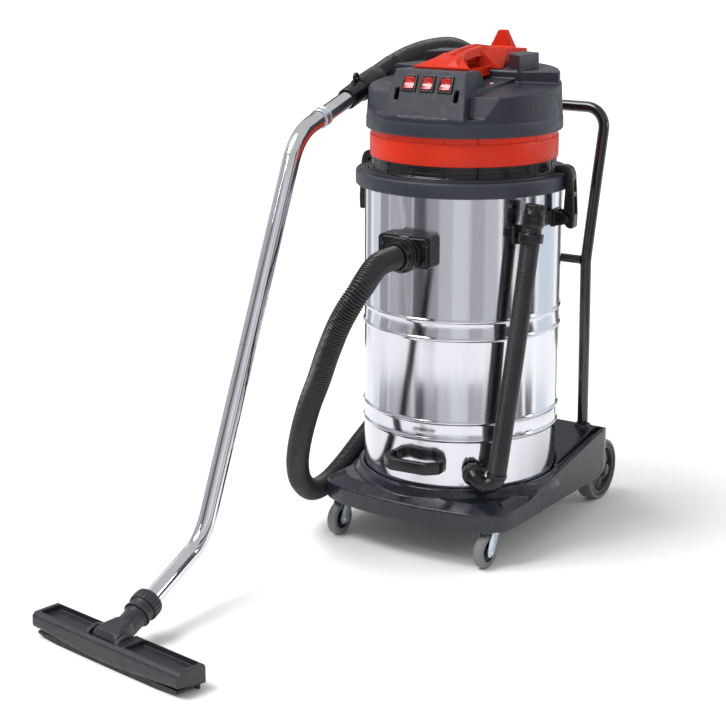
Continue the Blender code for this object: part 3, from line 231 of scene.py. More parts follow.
def moulded(obj, voxel, rounds):
    """Weld a body's solids into one skin with soft edges, as a moulding has."""
    remesh = obj.modifiers.new("remesh", "REMESH")
    remesh.mode, remesh.voxel_size = "VOXEL", voxel
    smooth = obj.modifiers.new("smooth", "SMOOTH")
    smooth.factor, smooth.iterations = 0.5, rounds
    return settled(obj)


def bevelled(obj, width, segments=3):
    """Round an object's sharp edges."""
    bevel = obj.modifiers.new("bevel", "BEVEL")
    bevel.width, bevel.segments, bevel.limit_method = width, segments, "ANGLE"
    bevel.angle_limit, bevel.harden_normals = math.radians(32.0), False
    return settled(obj)


def place(obj, where, finish, body, node="", angle=SHARP):
    """Move a finished shape to its place, give it its material and let it ride on its body."""
    obj.data.transform(where)
    if obj.data.materials:
        obj.data.materials.clear()
    obj.data.materials.append(finish)
    obj.data.shade_smooth()
    obj.data.set_sharp_from_angle(angle=math.radians(angle))
    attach(obj, body)
    if node:
        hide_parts(node)
    return obj


def loft(rings, loop=False):
    """Skin a stack of equal rings. The ends are capped, or joined to each other by loop."""
    bm = bmesh.new()
    rows = [[bm.verts.new(point) for point in ring] for ring in rings]
    pairs = list(zip(rows, rows[1:]))
    if loop:
        pairs.append((rows[-1], rows[0]))
    else:
        bm.faces.new(rows[0][::-1])
        bm.faces.new(rows[-1])
    for low, high in pairs:
        for k in range(len(low)):
            n = (k + 1) % len(low)
            bm.faces.new((low[k], low[n], high[n], high[k]))
    return bm


def circle(radius, z, segments, slope=0.0):
    """Ring of points about the vertical axis; slope raises it towards +Y."""
    turns = [2.0 * math.pi * k / segments for k in range(segments)]
    ring = [(radius * math.cos(turn), radius * math.sin(turn)) for turn in turns]
    return [(x, y, z + slope * y) for x, y in ring]


def turned(profile, segments, loop=False, shape=None):
    """Solid of revolution from (radius, height) points; shape(angle, r, z) may alter a point."""
    rings = []
    for radius, z in profile:
        ring = []
        for k in range(segments):
            angle = 2.0 * math.pi * k / segments
            r, h = shape(angle, radius, z) if shape else (radius, z)
            ring.append((r * math.cos(angle), r * math.sin(angle), h))
        rings.append(ring)
    return loft(rings, loop)


def mirrored(half):
    """Complete a profile that is the same on both sides of height 0, from its positive half."""
    return [(r, -z) for r, z in half] + half[::-1]


def rounded(profile, radius, steps=3, closed=False):
    """Replace each corner of a flat outline with a small arc."""
    points = [Vector(point) for point in profile]
    out = []
    count = len(points)
    for k, here in enumerate(points):
        if not closed and k in (0, count - 1):
            out.append(tuple(here))
            continue
        before, after = points[k - 1] - here, points[(k + 1) % count] - here
        reach = min(radius, before.length * 0.45, after.length * 0.45)
        start, end = here + before.normalized() * reach, here + after.normalized() * reach
        for step in range(steps + 1):
            t = step / steps
            out.append(tuple(start * (1 - t) ** 2 + here * 2 * t * (1 - t) + end * t * t))
    return out


def aimed(bm, origin, direction):
    """Swing a solid that was built along +Z to lie along a direction from an origin."""
    turn = Vector(direction).to_track_quat("Z", "Y").to_matrix().to_4x4()
    bm.transform(Matrix.Translation(Vector(origin)) @ turn)
    return bm


def prism(outline, low, high, axis="z"):
    """Extrude a flat outline along one axis. The outline is (x, y), (y, z) for x, (x, z) for y."""
    spot = {"z": lambda a, b, c: (a, b, c), "x": lambda a, b, c: (c, a, b), "y": lambda a, b,
            c: (a, c, b)}[axis]
    return loft([[spot(a, b, c) for a, b in outline] for c in (low, high)])


def block(low, high):
    """Rectangular block between two corners."""
    outline = [(low[0], low[1]), (high[0], low[1]), (high[0], high[1]), (low[0], high[1])]
    return prism(outline, low[2], high[2])


def frames_along(path):
    """A side vector and an up vector at each point of a path, carried without twist."""
    tangents = []
    for k in range(len(path)):
        tangents.append((path[min(k + 1, len(path) - 1)] - path[max(k - 1, 0)]).normalized())
    side = tangents[0].orthogonal().normalized()
    frames = []
    for tangent in tangents:
        side = (side - tangent * side.dot(tangent)).normalized()
        frames.append((side, tangent.cross(side)))
    return frames


def rings_along(path, radius_at, segments):
    """Circles square to a path; radius_at(k, angle) gives the radius at point k."""
    rings = []
    for k, (point, (side, up)) in enumerate(zip(path, frames_along(path))):
        ring = []
        for n in range(segments):
            angle = 2.0 * math.pi * n / segments
            ring.append(point + radius_at(k, angle) * (side * math.cos(angle) + up * math.sin(angle)))
        rings.append(ring)
    return rings


def rod(path, radius, segments):
    """Solid round bar along a path."""
    return loft(rings_along(path, lambda k, angle: radius, segments))


def pipe(path, outer, inner, segments):
    """Open tube along a path."""
    skin = rings_along(path, lambda k, angle: outer, segments)
    bore = rings_along(path, lambda k, angle: inner, segments)
    return loft(skin + bore[::-1], loop=True)


def ribbed_tube(path, radius, depth, pitch, segments, bore):
    """Tube along evenly spaced points whose skin is wound in a helix of rounded ribs."""
    step = (path[1] - path[0]).length

    def skin(k, angle):
        turn = k * step / pitch + angle / (2.0 * math.pi)
        return radius - depth * (0.5 - 0.5 * math.cos(2.0 * math.pi * turn)) ** 2
    outer = rings_along(path, skin, segments)
    ends = rings_along([path[0], path[1]], lambda k, angle: bore, segments)
    tail = rings_along([path[-2], path[-1]], lambda k, angle: bore, segments)
    return loft([ends[1], ends[0]] + outer + [tail[1], tail[0]])


def filleted(corners, radius, steps=10):
    """Straight runs between corners, with an arc of the given radius at each inner corner."""
    corners = [Vector(corner) for corner in corners]
    path = [corners[0]]
    for before, here, after in zip(corners, corners[1:], corners[2:]):
        inward, outward = (before - here).normalized(), (after - here).normalized()
        half = inward.angle(outward) / 2.0
        centre = here + (inward + outward).normalized() * (radius / math.sin(half))
        start = (here + inward * (radius / math.tan(half)) - centre).normalized()
        end = (here + outward * (radius / math.tan(half)) - centre).normalized()
        for k in range(steps + 1):
            path.append(centre + start.slerp(end, k / steps) * radius)
    path.append(corners[-1])
    return path


def smooth_route(points, spacing):
    """Points at even spacing along a smooth curve through given points."""
    points = [Vector(point) for point in points]
    points = [2 * points[0] - points[1]] + points + [2 * points[-1] - points[-2]]
    fine = []
    for p0, p1, p2, p3 in zip(points, points[1:], points[2:], points[3:]):
        for k in range(40):
            t = k / 40.0
            fine.append(0.5 * (2 * p1 + (p2 - p0) * t + (2 * p0 - 5 * p1 + 4 * p2 - p3) * t * t
                    + (3 * p1 - p0 - 3 * p2 + p3) * t ** 3))
    fine.append(points[-2])
    lengths = [0.0]
    for a, b in zip(fine, fine[1:]):
        lengths.append(lengths[-1] + (b - a).length)
    count = round(lengths[-1] / spacing)
    route = []
    k = 0
    for step in range(count + 1):
        target = min(lengths[-1] * step / count, lengths[-1])
        while k < len(lengths) - 2 and lengths[k + 1] < target:
            k += 1
        share = (target - lengths[k]) / (lengths[k + 1] - lengths[k])
        route.append(fine[k].lerp(fine[k + 1], share))
    return route


def polar(radius, degrees, z):
    """Point at an angle from the front, positive towards +X."""
    angle = math.radians(degrees)
    return Vector((radius * math.sin(angle), -radius * math.cos(angle), z))


def outward(degrees):
    """Horizontal unit vector away from the drum's axis."""
    return polar(1.0, degrees, 0.0)


def moved(bm, x, y, z=0.0):
    """Shift a solid."""
    bm.transform(Matrix.Translation((x, y, z)))
    return bm


def about_drum(bm, degrees):
    """Turn a solid built at the front (-Y) round the drum's axis."""
    bm.transform(Matrix.Rotation(math.radians(degrees), 4, "Z"))
    return bm


def drum_cylinder(low, high):
    """Solid the size of the drum, for cutting what sits on it."""
    return turned([(DRUM_RADIUS + CUT_GAP, low), (DRUM_RADIUS + CUT_GAP, high)], 128)


# ---------------------------------------------------------------- finishes

def add_node(tree, kind, **settings):
    """New shader node; settings are its properties, or its inputs when written in_NAME."""
    node = tree.nodes.new("ShaderNode" + kind)
    for key, value in settings.items():
        if key.startswith("in_"):
            node.inputs[key[3:].replace("_", " ")].default_value = value
        else:
            setattr(node, key, value)
    return node


def noise(tree, scale, detail=3.0, stretch=(1.0, 1.0, 1.0)):
    """Noise value in object space, its grain stretched along the axes."""
    coords = add_node(tree, "TexCoord")
    mapping = add_node(tree, "Mapping")
    mapping.inputs["Scale"].default_value = stretch
    texture = add_node(tree, "TexNoise", in_Scale=scale, in_Detail=detail)
    tree.links.new(coords.outputs["Object"], mapping.inputs["Vector"])
    tree.links.new(mapping.outputs["Vector"], texture.inputs["Vector"])
    return texture.outputs["Fac"]


def spread(tree, value, low, high, floor, ceiling):
    """Map a value between two bounds to another range."""
    node = add_node(tree, "MapRange")
    for key, number in zip(("From Min", "From Max", "To Min", "To Max"), (low, high, floor, ceiling)):
        node.inputs[key].default_value = number
    tree.links.new(value, node.inputs["Value"])
    return node.outputs["Result"]


def blend_colour(tree, factor, first, second):
    """Mix of two colours; each may be a constant or another node's output."""
    node = add_node(tree, "Mix", data_type="RGBA")
    tree.links.new(factor, node.inputs["Factor"])
    for socket, colour in ((node.inputs[6], first), (node.inputs[7], second)):
        if isinstance(colour, tuple):
            socket.default_value = (*colour, 1.0)
        else:
            tree.links.new(colour, socket)
    return node.outputs[2]


def add_bump(tree, height, strength, distance, below=None):
    """Bump from a height value, on top of another bump if given."""
    node = add_node(tree, "Bump", in_Strength=strength, in_Distance=distance)
    tree.links.new(height, node.inputs["Height"])
    if below:
        tree.links.new(below, node.inputs["Normal"])
    return node.outputs["Normal"]


def material(name, colour, roughness, metallic=0.0, grain=(1400, 0.25), vary=0.18, scuff=0.1, wear_and_edge_sheen=0.0,
        stretch=(1.0, 1.0, 1.0), constants=()):
    """Finish with colour mottling, uneven gloss, a fine grain and paler edges, part rubbed plastic and part
    painted highlight.
    """
    made = bpy.data.materials.new(name + "_look")
    made.use_nodes = True
    tree = made.node_tree
    shader = tree.nodes["Principled BSDF"]
    shader.inputs["Metallic"].default_value = metallic
    for socket, value in constants:
        shader.inputs[socket].default_value = value
    mottle = noise(tree, 14.0, 4.0, stretch)
    darker = tuple(channel * (1.0 - vary) for channel in colour)
    paler = tuple(min(1.0, channel * (1.0 + vary)) for channel in colour)
    tint = blend_colour(tree, spread(tree, mottle, 0.35, 0.65, 0.0, 1.0), darker, paler)
    # Paler tone on sharp edges by pointiness: partly rubbing, partly a painted highlight where edges would
    # catch the light.
    if wear_and_edge_sheen:
        geometry = add_node(tree, "NewGeometry")
        edge = spread(tree, geometry.outputs["Pointiness"], 0.515, 0.57, 0.0, wear_and_edge_sheen)
        rubbed_and_highlit_tone = tuple(min(1.0, channel * 2.2 + 0.03) for channel in colour)
        tint = blend_colour(tree, edge, tint, rubbed_and_highlit_tone)
    tree.links.new(tint, shader.inputs["Base Color"])
    gloss = noise(tree, 55.0, 5.0, stretch)
    rough = spread(tree, gloss, 0.3, 0.7, max(0.02, roughness - scuff), roughness + scuff)
    tree.links.new(rough, shader.inputs["Roughness"])
    scale, strength = grain
    tree.links.new(add_bump(tree, noise(tree, scale, 2.0, stretch), strength, 0.0004),
            shader.inputs["Normal"])
    return made


def steel_finish():
    """Bright rolled sheet: faint upright brush lines, gentle waviness and a few dull smears."""
    made = material("tank_steel", (0.655, 0.664, 0.705), 0.13, 1.0, grain=(900, 0.05), vary=0.05,
            scuff=0.05, stretch=(1.0, 1.0, 0.02))
    tree = made.node_tree
    shader = tree.nodes["Principled BSDF"]
    waves = noise(tree, 9.0, 2.0, (1.0, 1.0, 0.16))
    ripple = add_bump(tree, waves, 0.3, 0.004)
    lines = noise(tree, 700.0, 2.0, (1.0, 1.0, 0.01))
    tree.links.new(add_bump(tree, lines, 0.06, 0.0004, ripple), shader.inputs["Normal"])
    return made


def weave_finish():
    """Pale filter cloth with a plain weave."""
    made = material("filter_cloth", (0.62, 0.6, 0.54), 0.92, grain=(400, 0.5), vary=0.1)
    tree = made.node_tree
    shader = tree.nodes["Principled BSDF"]
    shader.inputs["Sheen Weight"].default_value = 0.3
    coords = add_node(tree, "TexCoord")
    threads = None
    for direction in ("DIAGONAL", "Z"):
        wave = add_node(tree, "TexWave", bands_direction=direction, in_Scale=190.0, in_Distortion=0.6)
        tree.links.new(coords.outputs["Object"], wave.inputs["Vector"])
        threads = add_bump(tree, wave.outputs["Fac"], 0.5, 0.0006, threads)
    tree.links.new(threads, shader.inputs["Normal"])
    return made


def lens_finish():
    """Clear red rocker, lit from inside: brightest low in the middle."""
    made = material("switch_lens", (0.4, 0.012, 0.01), 0.16, grain=(700, 0.05), vary=0.08, scuff=0.04,
            constants=(("Coat Weight", 0.5), ("Coat Roughness", 0.05)))
    tree = made.node_tree
    shader = tree.nodes["Principled BSDF"]
    coords = add_node(tree, "TexCoord")
    centred = add_node(tree, "VectorMath", operation="SUBTRACT")
    centred.inputs[1].default_value = (0.5, 0.3, 0.4)
    tree.links.new(coords.outputs["Generated"], centred.inputs[0])
    squeezed = add_node(tree, "VectorMath", operation="MULTIPLY")
    squeezed.inputs[1].default_value = (1.9, 0.4, 1.5)
    tree.links.new(centred.outputs["Vector"], squeezed.inputs[0])
    distance = add_node(tree, "VectorMath", operation="LENGTH")
    tree.links.new(squeezed.outputs["Vector"], distance.inputs[0])
    glow = spread(tree, distance.outputs["Value"], 0.75, 0.05, 0.0, 1.0)
    tree.links.new(blend_colour(tree, glow, (0.4, 0.01, 0.01), (1.0, 0.26, 0.2)),
            shader.inputs["Emission Color"])
    tree.links.new(spread(tree, glow, 0.0, 1.0, 0.06, 0.3), shader.inputs["Emission Strength"])
    return made


def zinc_finish():
    """Plated steel with a faint spangle."""
    made = material("zinc_steel", (0.7, 0.78, 0.86), 0.34, 1.0, grain=(500, 0.1), vary=0.1)
    tree = made.node_tree
    shader = tree.nodes["Principled BSDF"]
    coords = add_node(tree, "TexCoord")
    cells = add_node(tree, "TexVoronoi", in_Scale=240.0)
    tree.links.new(coords.outputs["Object"], cells.inputs["Vector"])
    shade = spread(tree, cells.outputs["Distance"], 0.0, 0.8, 0.3, 0.46)
    tree.links.new(shade, shader.inputs["Roughness"])
    return made


# The slate's strong edge paling is mostly a painted highlight along the cover's moulded edges.
SLATE = material("slate_plastic", (0.019, 0.0212, 0.032), 0.4, grain=(2200, 0.14), vary=0.08, wear_and_edge_sheen=0.55,
        constants=(("Specular IOR Level", 0.42),))
BLACK = material("black_plastic", (0.006, 0.006, 0.0074), 0.26, grain=(1800, 0.1), vary=0.2, wear_and_edge_sheen=0.1,
        constants=(("Specular IOR Level", 0.42),))
BASE = material("slate_plastic", (0.0135, 0.015, 0.0225), 0.24, grain=(1500, 0.06), vary=0.08, wear_and_edge_sheen=0.4,
        constants=(("Specular IOR Level", 0.5),))
TOOL = material("black_plastic", (0.019, 0.018, 0.024), 0.42, grain=(1700, 0.14), vary=0.1, wear_and_edge_sheen=0.35)
RED = material("red_plastic", (0.6, 0.0215, 0.002), 0.36, grain=(1600, 0.08), vary=0.06, scuff=0.06,
        wear_and_edge_sheen=0.06, constants=(("Specular IOR Level", 0.22),))
STEEL = steel_finish()
CHROME = material("chrome_tube", (0.76, 0.76, 0.79), 0.055, 1.0, grain=(60, 0.04), vary=0.04, scuff=0.025)
ZINC = zinc_finish()
GREY_RUBBER = material("caster_rubber", (0.175, 0.178, 0.19), 0.62, grain=(1500, 0.4), vary=0.12)
BEIGE_RUBBER = material("rear_tyre_rubber", (0.19, 0.185, 0.175), 0.72, grain=(1500, 0.5), vary=0.15)
HOSE = material("hose_rubber", (0.0105, 0.0105, 0.0115), 0.36, grain=(900, 0.15), vary=0.25, scuff=0.08,
        constants=(("Specular IOR Level", 0.5),))
SEAL = material("seal_rubber", (0.014, 0.014, 0.015), 0.55, grain=(1300, 0.3), vary=0.2)
CLOTH = weave_finish()
LENS = lens_finish()
ALUMINIUM = material("cast_aluminium", (0.55, 0.55, 0.56), 0.42, 1.0, grain=(700, 0.5), vary=0.1)
PAINT = material("handle_paint", (0.0085, 0.0085, 0.0095), 0.16, grain=(320, 0.1), vary=0.15, scuff=0.05,
        constants=(("Coat Weight", 0.4), ("Coat Roughness", 0.08)))


# ---------------------------------------------------------------- suction hose (comes first)

HOSE_ROUTE = [(0.0107, -0.3012, 0.684), (0.016, -0.37, 0.6825), (0.0265, -0.422, 0.668),
        (0.023, -0.46, 0.638), (0.001, -0.475, 0.5945), (-0.025, -0.478, 0.543), (-0.054, -0.47, 0.4795),
        (-0.088, -0.455, 0.415), (-0.127, -0.43, 0.354), (-0.174, -0.39, 0.272), (-0.21, -0.35, 0.209),
        (-0.24, -0.3, 0.1485), (-0.256, -0.2421, 0.1038), (-0.2665, -0.1757, 0.0881),
        (-0.271, -0.095, 0.107), (-0.279, 0.0, 0.142), (-0.288, 0.12, 0.19), (-0.285, 0.225, 0.26),
        (-0.263, 0.325, 0.365), (-0.233, 0.4, 0.495), (-0.21, 0.442, 0.64), (-0.196, 0.46, 0.78),
        (-0.195, 0.458, 0.895), (-0.202, 0.433, 0.985), (-0.216, 0.393, 1.038), (-0.233, 0.34, 1.06),
        (-0.247, 0.283, 1.062), (-0.257, 0.225, 1.056), (-0.26, 0.175, 1.049), (-0.259, 0.1434, 1.0436),
        (-0.2568, 0.1148, 1.0364)]


def wand_point(along, height):
    """Point of the wand's upright plane: distance along its heading from the tool, and height."""
    return Vector((WAND_FOOT[0] + WAND_HEADING[0] * along, WAND_FOOT[1] + WAND_HEADING[1] * along, height))


def wand_heading():
    """Direction of the wand's upper end, towards the hose."""
    return (wand_point(*WAND_HIGH) - wand_point(*WAND_ELBOW)).normalized()


def suction_hose():
    """Corrugated hose, wound in a helix, from the inlet round the machine to the wand."""
    coarse = smooth_route(HOSE_ROUTE, 0.08)
    straight = Matrix.Rotation(math.radians(DRUM_TURN), 3, "Z") @ Vector((0.0, -0.01, 0.0))
    coarse.insert(1, coarse[0] + straight)
    coarse.insert(-1, coarse[-1] + wand_heading() * 0.01)
    path = smooth_route(coarse, 0.00085)
    bm = ribbed_tube(path, HOSE_DIAMETER / 2.0 + 0.0004, HOSE_RIB, HOSE_PITCH, 36, HOSE_BORE)
    hose = place(mesh_object("suction_hose_skin", bm), TROLLEY, HOSE, "machine", "suction_hose")


# ---------------------------------------------------------------- drum, collar and fittings

def drum():
    """Stainless tank: rounded foot, four rolled beads, thin wall, and its two holes."""
    wall = [(DRUM_RADIUS - 0.008, DRUM_FLOOR), (DRUM_RADIUS - 0.0035, DRUM_FLOOR + 0.0008),
            (DRUM_RADIUS - 0.001, DRUM_FLOOR + 0.0035), (DRUM_RADIUS, DRUM_FLOOR + 0.008)]
    for z in BEAD_HEIGHTS:
        for step in range(-6, 7):
            rise = 0.0032 * (0.5 + 0.5 * math.cos(math.pi * step / 6.0))
            wall.append((DRUM_RADIUS + rise, z + step * 0.0011))
    inner = DRUM_RADIUS - 0.0012
    inside = [(r - 0.0012, z) for r, z in wall[::-1]]
    inside[-3:] = [(inner, DRUM_FLOOR + 0.01), (inner - 0.003, DRUM_FLOOR + 0.004),
            (inner - 0.01, DRUM_FLOOR + 0.0012)]
    profile = ([(0.004, DRUM_FLOOR)] + wall + [(DRUM_RADIUS, DRUM_TOP - 0.0006), (inner, DRUM_TOP)] + inside
            + [(0.004, DRUM_FLOOR + 0.0012)])
    tank = mesh_object("drum_sheet", turned(profile, 128))
    hole = turned([(0.024, 0.0), (0.024, 0.1)], 32)
    combine(tank, aimed(hole, (INLET_X, -0.15, SOCKET_Z), (0, -1, 0)))
    drain = turned([(0.013, 0.0), (0.013, 0.08)], 24)
    combine(tank, aimed(drain, polar(0.18, DRAIN_ANGLE, DRAIN_Z), outward(DRAIN_ANGLE)))
    place(tank, TANK, STEEL, "machine", "drum", angle=SHARP_LATHE)
    seam = about_drum(block((-0.003, -DRUM_RADIUS - 0.0005, DRUM_FLOOR + 0.01),
            (0.003, -DRUM_RADIUS + 0.0006, COLLAR_BOTTOM)), 190.0)
    place(bevelled(mesh_object("drum_seam", seam), 0.0004, 2), TANK, STEEL, "machine")


def collar():
    """Slate ring over the drum's edge, with a rounded brim and a groove round its top."""
    inner = DRUM_RADIUS + 0.0008
    outside = [(inner, COLLAR_BOTTOM), (COLLAR_RADIUS - 0.002, COLLAR_BOTTOM),
            (COLLAR_RADIUS - 0.0004, COLLAR_BOTTOM + 0.0014), (COLLAR_RADIUS, 0.806),
            (COLLAR_RADIUS, 0.829), (COLLAR_RADIUS - 0.0012, 0.8328), (COLLAR_RADIUS - 0.0042, 0.835)]
    groove = [(0.2325, 0.835), (0.2318, 0.8334), (0.2296, 0.8334), (0.2289, 0.835)]
    lip = [(0.2182, 0.8357), (0.2172, 0.8386), (0.216, 0.839), (0.2134, 0.839), (0.213, 0.8384),
            (0.213, 0.829), (0.185, 0.829), (0.185, DRUM_TOP + GAP), (inner, DRUM_TOP + GAP)]
    place(mesh_object("collar_ring", turned(outside + groove + lip, 160, loop=True)), TANK, SLATE,
            "machine", "drum_collar", angle=SHARP_LATHE)
    low, high = LEDGE, 0.8347
    gasket = [(0.2015, low), (0.2115, low), (0.2118, low + 0.0027), (0.2115, high), (0.2015, high),
            (0.2012, low + 0.0027)]
    place(mesh_object("collar_gasket", turned(gasket, 96, loop=True)), TANK, SEAL, "machine", "drum_gasket")


def filter_bag():
    """Pleated cloth bag hanging from a stiff ring on the ledge."""
    top = LEDGE
    outer = [(0.03, 0.505), (0.085, 0.506), (0.118, 0.511), (0.136, 0.529), (0.15, 0.56), (0.156, 0.64),
            (0.161, 0.72), (0.165, 0.79), (0.166, top - 0.004), (0.167, top), (0.2, top),
            (0.2, top + 0.003)]
    inner = [(0.1636, top + 0.003), (0.163, 0.79), (0.159, 0.72), (0.154, 0.64), (0.1476, 0.562),
            (0.134, 0.531), (0.1175, 0.513), (0.085, 0.5085), (0.03, 0.5075)]

    def folds(angle, r, z):
        hang = max(0.0, min(1.0, (0.8 - z) / 0.12)) * min(1.0, r / 0.1)
        pleat = math.cos(24 * angle) + 0.5 * math.cos(7 * angle + 1.3)
        return r + 0.0016 * hang * pleat, z
    place(mesh_object("filter_cloth_bag", turned(outer + inner, 192, shape=folds)), TANK, CLOTH, "machine",
            "filter_bag", angle=60.0)


def inlet():
    """Moulded inlet block with its ribbed socket, the hood behind it and the hose cuff."""
    half, bottom, top, chamfer = 0.062, INLET_Z - 0.034, INLET_Z + 0.034, 0.006
    outline = [(-half, bottom + 0.005), (-half + 0.005, bottom), (half - 0.005, bottom),
            (half, bottom + 0.005), (half, top - chamfer), (half - chamfer, top), (-half + chamfer, top),
            (-half, top - chamfer)]
    placed = [(INLET_X + x, z) for x, z in outline]
    solid = mesh_object("inlet_block", prism(placed, -0.195, -0.259, "y"))
    plate = [(INLET_X + x * 0.88, INLET_Z + (z - INLET_Z) * 0.84) for x, z in outline]
    join(solid, prism(plate, -0.245, -0.2622, "y"))
    socket = [(0.0385, 0.0), (0.0385, 0.008), (0.037, 0.009), (0.037, 0.015), (0.0385, 0.016),
            (0.0385, 0.024), (0.037, 0.026)]
    join(solid, aimed(turned(socket, 64), (INLET_X, -0.252, SOCKET_Z), (0, -1, 0)))
    for side in (-1, 1):
        for z in (bottom + 0.012, top - 0.016):
            boss = turned([(0.0062, 0.0), (0.0062, 0.004), (0.005, 0.005)], 24)
            spot = (INLET_X + side * (half - 0.012), -0.258, z)
            join(solid, aimed(boss, spot, (0, -1, 0)))
            pit = turned([(0.003, 0.0), (0.003, 0.01)], 6)
            combine(solid, aimed(pit, (spot[0], -0.261, z), (0, -1, 0)))
    combine(solid, drum_cylinder(0.6, 0.78))
    combine(solid, aimed(turned([(0.033, 0.0), (0.033, 0.08)], 64), (INLET_X, -0.236, SOCKET_Z),
            (0, -1, 0)))
    combine(solid, aimed(turned([(0.024, 0.0), (0.024, 0.1)], 48), (INLET_X, -0.17, SOCKET_Z), (0, -1, 0)))
    place(moulded(solid, SKIN_FITTING, 3), TANK, BLACK, "machine", "inlet_housing")

    hood = mesh_object("inlet_hood", block((-0.055, -0.225, 0.64), (0.035, -0.172, 0.722)))
    combine(hood, block((-0.0525, -0.23, 0.63), (0.0325, -0.1745, 0.7195)))
    inside = DRUM_RADIUS - 0.0026
    combine(hood, turned([(inside, 0.6), (inside, 0.78)], 96), "INTERSECT")
    place(bevelled(hood, 0.0006, 2), TANK, BLACK, "machine", "inlet_deflector")

    cuff = [(0.0262, 0.0), (0.0316, 0.0), (0.032, 0.0006), (0.032, 0.028), (0.0342, 0.0288), (0.035, 0.03),
            (0.035, 0.047), (0.0342, 0.0486), (0.0316, 0.0494), (0.0312, 0.0505), (0.0306, 0.062),
            (0.0298, 0.0636), (0.0285, 0.064), (0.0262, 0.064)]
    place(mesh_object("hose_cuff_at_inlet", aimed(turned(cuff, 72, loop=True), (INLET_X, -0.2365, SOCKET_Z),
            (0, -1, 0))), TANK, BLACK, "machine", "hose_inlet_cuff")


def grip():
    """Loop handle low on the drum's front, with cut corners."""
    half, depth, low, high, front = 0.07, 0.015, 0.1985, 0.2255, -0.264
    outer = rounded([(-half, -0.19), (-half, front + 0.022), (-half + 0.026, front), (half - 0.026, front),
            (half, front + 0.022), (half, -0.19)], 0.006, 3)
    solid = mesh_object("drum_grip_loop", prism(outer, low, high))
    gap_half, gap_front = half - depth, front + depth
    gap = [(-gap_half, -0.19), (-gap_half, gap_front + 0.014), (-gap_half + 0.016, gap_front),
            (gap_half - 0.016, gap_front), (gap_half, gap_front + 0.014), (gap_half, -0.19)]
    combine(solid, prism(rounded(gap, 0.005, 3), low - 0.03, high + 0.03))
    combine(solid, drum_cylinder(0.16, 0.26))
    place(bevelled(solid, 0.0034, 4), TANK, BLACK, "machine", "drum_grip", angle=SHARP_TUBE)


def drain():
    """Drain elbow with its nut, the finely ribbed hose, the clip that holds it, and its plug."""
    low, high = polar(*DRAIN_HOSE_LOW), polar(*DRAIN_HOSE_HIGH)
    middle = (low + high) / 2.0
    bow = outward((DRAIN_HOSE_LOW[1] + DRAIN_HOSE_HIGH[1]) / 2.0) * 0.004
    coarse = smooth_route([low, middle + bow, high], 0.06)
    start = (coarse[1] - coarse[0]).normalized()
    route = [polar(0.215, DRAIN_ANGLE, DRAIN_Z), polar(0.236, DRAIN_ANGLE, DRAIN_Z),
            polar(0.251, DRAIN_ANGLE + 1.0, 0.19), polar(0.26, DRAIN_ANGLE + 5.0, 0.178),
            low - start * 0.018, low + start * 0.003]
    elbow = mesh_object("drain_elbow_body", rod(smooth_route(route, 0.013), 0.019, 24))
    beyond = turned([(0.03, 0.0), (0.03, 0.02)], 24)
    combine(elbow, aimed(beyond, low - start * GAP, start))
    flange = turned([(0.021, -0.01), (0.0222, -0.009), (0.0222, -0.002), (0.021, -0.001)], 32)
    join(elbow, aimed(flange, low, start))
    nut = turned([(0.025, 0.0), (0.025, 0.0165), (0.0232, 0.02), (0.0205, 0.021)], 48, shape=lambda a, r,
            z: (r - 0.0012 * max(0.0, math.cos(12 * a)), z))
    join(elbow, aimed(nut, polar(0.227, DRAIN_ANGLE, DRAIN_Z), outward(DRAIN_ANGLE)))
    combine(elbow, drum_cylinder(0.15, 0.25))
    place(moulded(elbow, SKIN_FINE, 3), TANK, BLACK, "machine", "drain_elbow")

    fine = smooth_route(coarse, 0.0007)
    hose = ribbed_tube(fine, DRAIN_RADIUS, DRAIN_RIB, DRAIN_PITCH, 32, DRAIN_BORE)
    place(mesh_object("drain_hose_skin", hose), TANK, HOSE, "machine", "drain_hose", angle=70.0)

    upright = (coarse[-1] - coarse[-2]).normalized()
    plug = [(0.0228, 0.0), (0.0235, 0.0008), (0.0235, 0.008), (0.0223, 0.009), (0.0223, 0.012),
            (0.0235, 0.013), (0.0235, 0.02), (0.0223, 0.021), (0.0223, 0.024), (0.0235, 0.025),
            (0.0233, 0.0285), (0.0205, 0.031), (0.0205, 0.0435), (0.0195, 0.046), (0.017, 0.047)]
    knurl = turned(plug, 72, shape=lambda a, r, z: (r - (0.0005 * math.cos(36 * a) if z > 0.03 else 0.0),
            z))
    place(mesh_object("drain_plug", aimed(knurl, high + upright * GAP, upright)), TANK, BLACK, "drain_cap",
            "drain_cap", angle=SHARP_TUBE)
    grip_point = high - upright * 0.024
    ring = turned(mirrored([(0.0224, 0.009), (0.0258, 0.009), (0.0265, 0.008)]), 48, loop=True)
    clip = mesh_object("drain_clip_ring", aimed(ring, grip_point, upright))
    stalk = block((-0.008, -0.2435, grip_point.z - 0.007), (0.008, -0.2225, grip_point.z + 0.007))
    join(clip, about_drum(stalk, DRAIN_HOSE_HIGH[1]))
    foot = block((-0.018, -0.225, grip_point.z - 0.02), (0.018, -0.21, grip_point.z + 0.02))
    join(clip, about_drum(foot, DRAIN_HOSE_HIGH[1]))
    combine(clip, drum_cylinder(0.66, 0.8))
    place(bevelled(clip, 0.0008, 2), TANK, BLACK, "machine", "drain_clip")


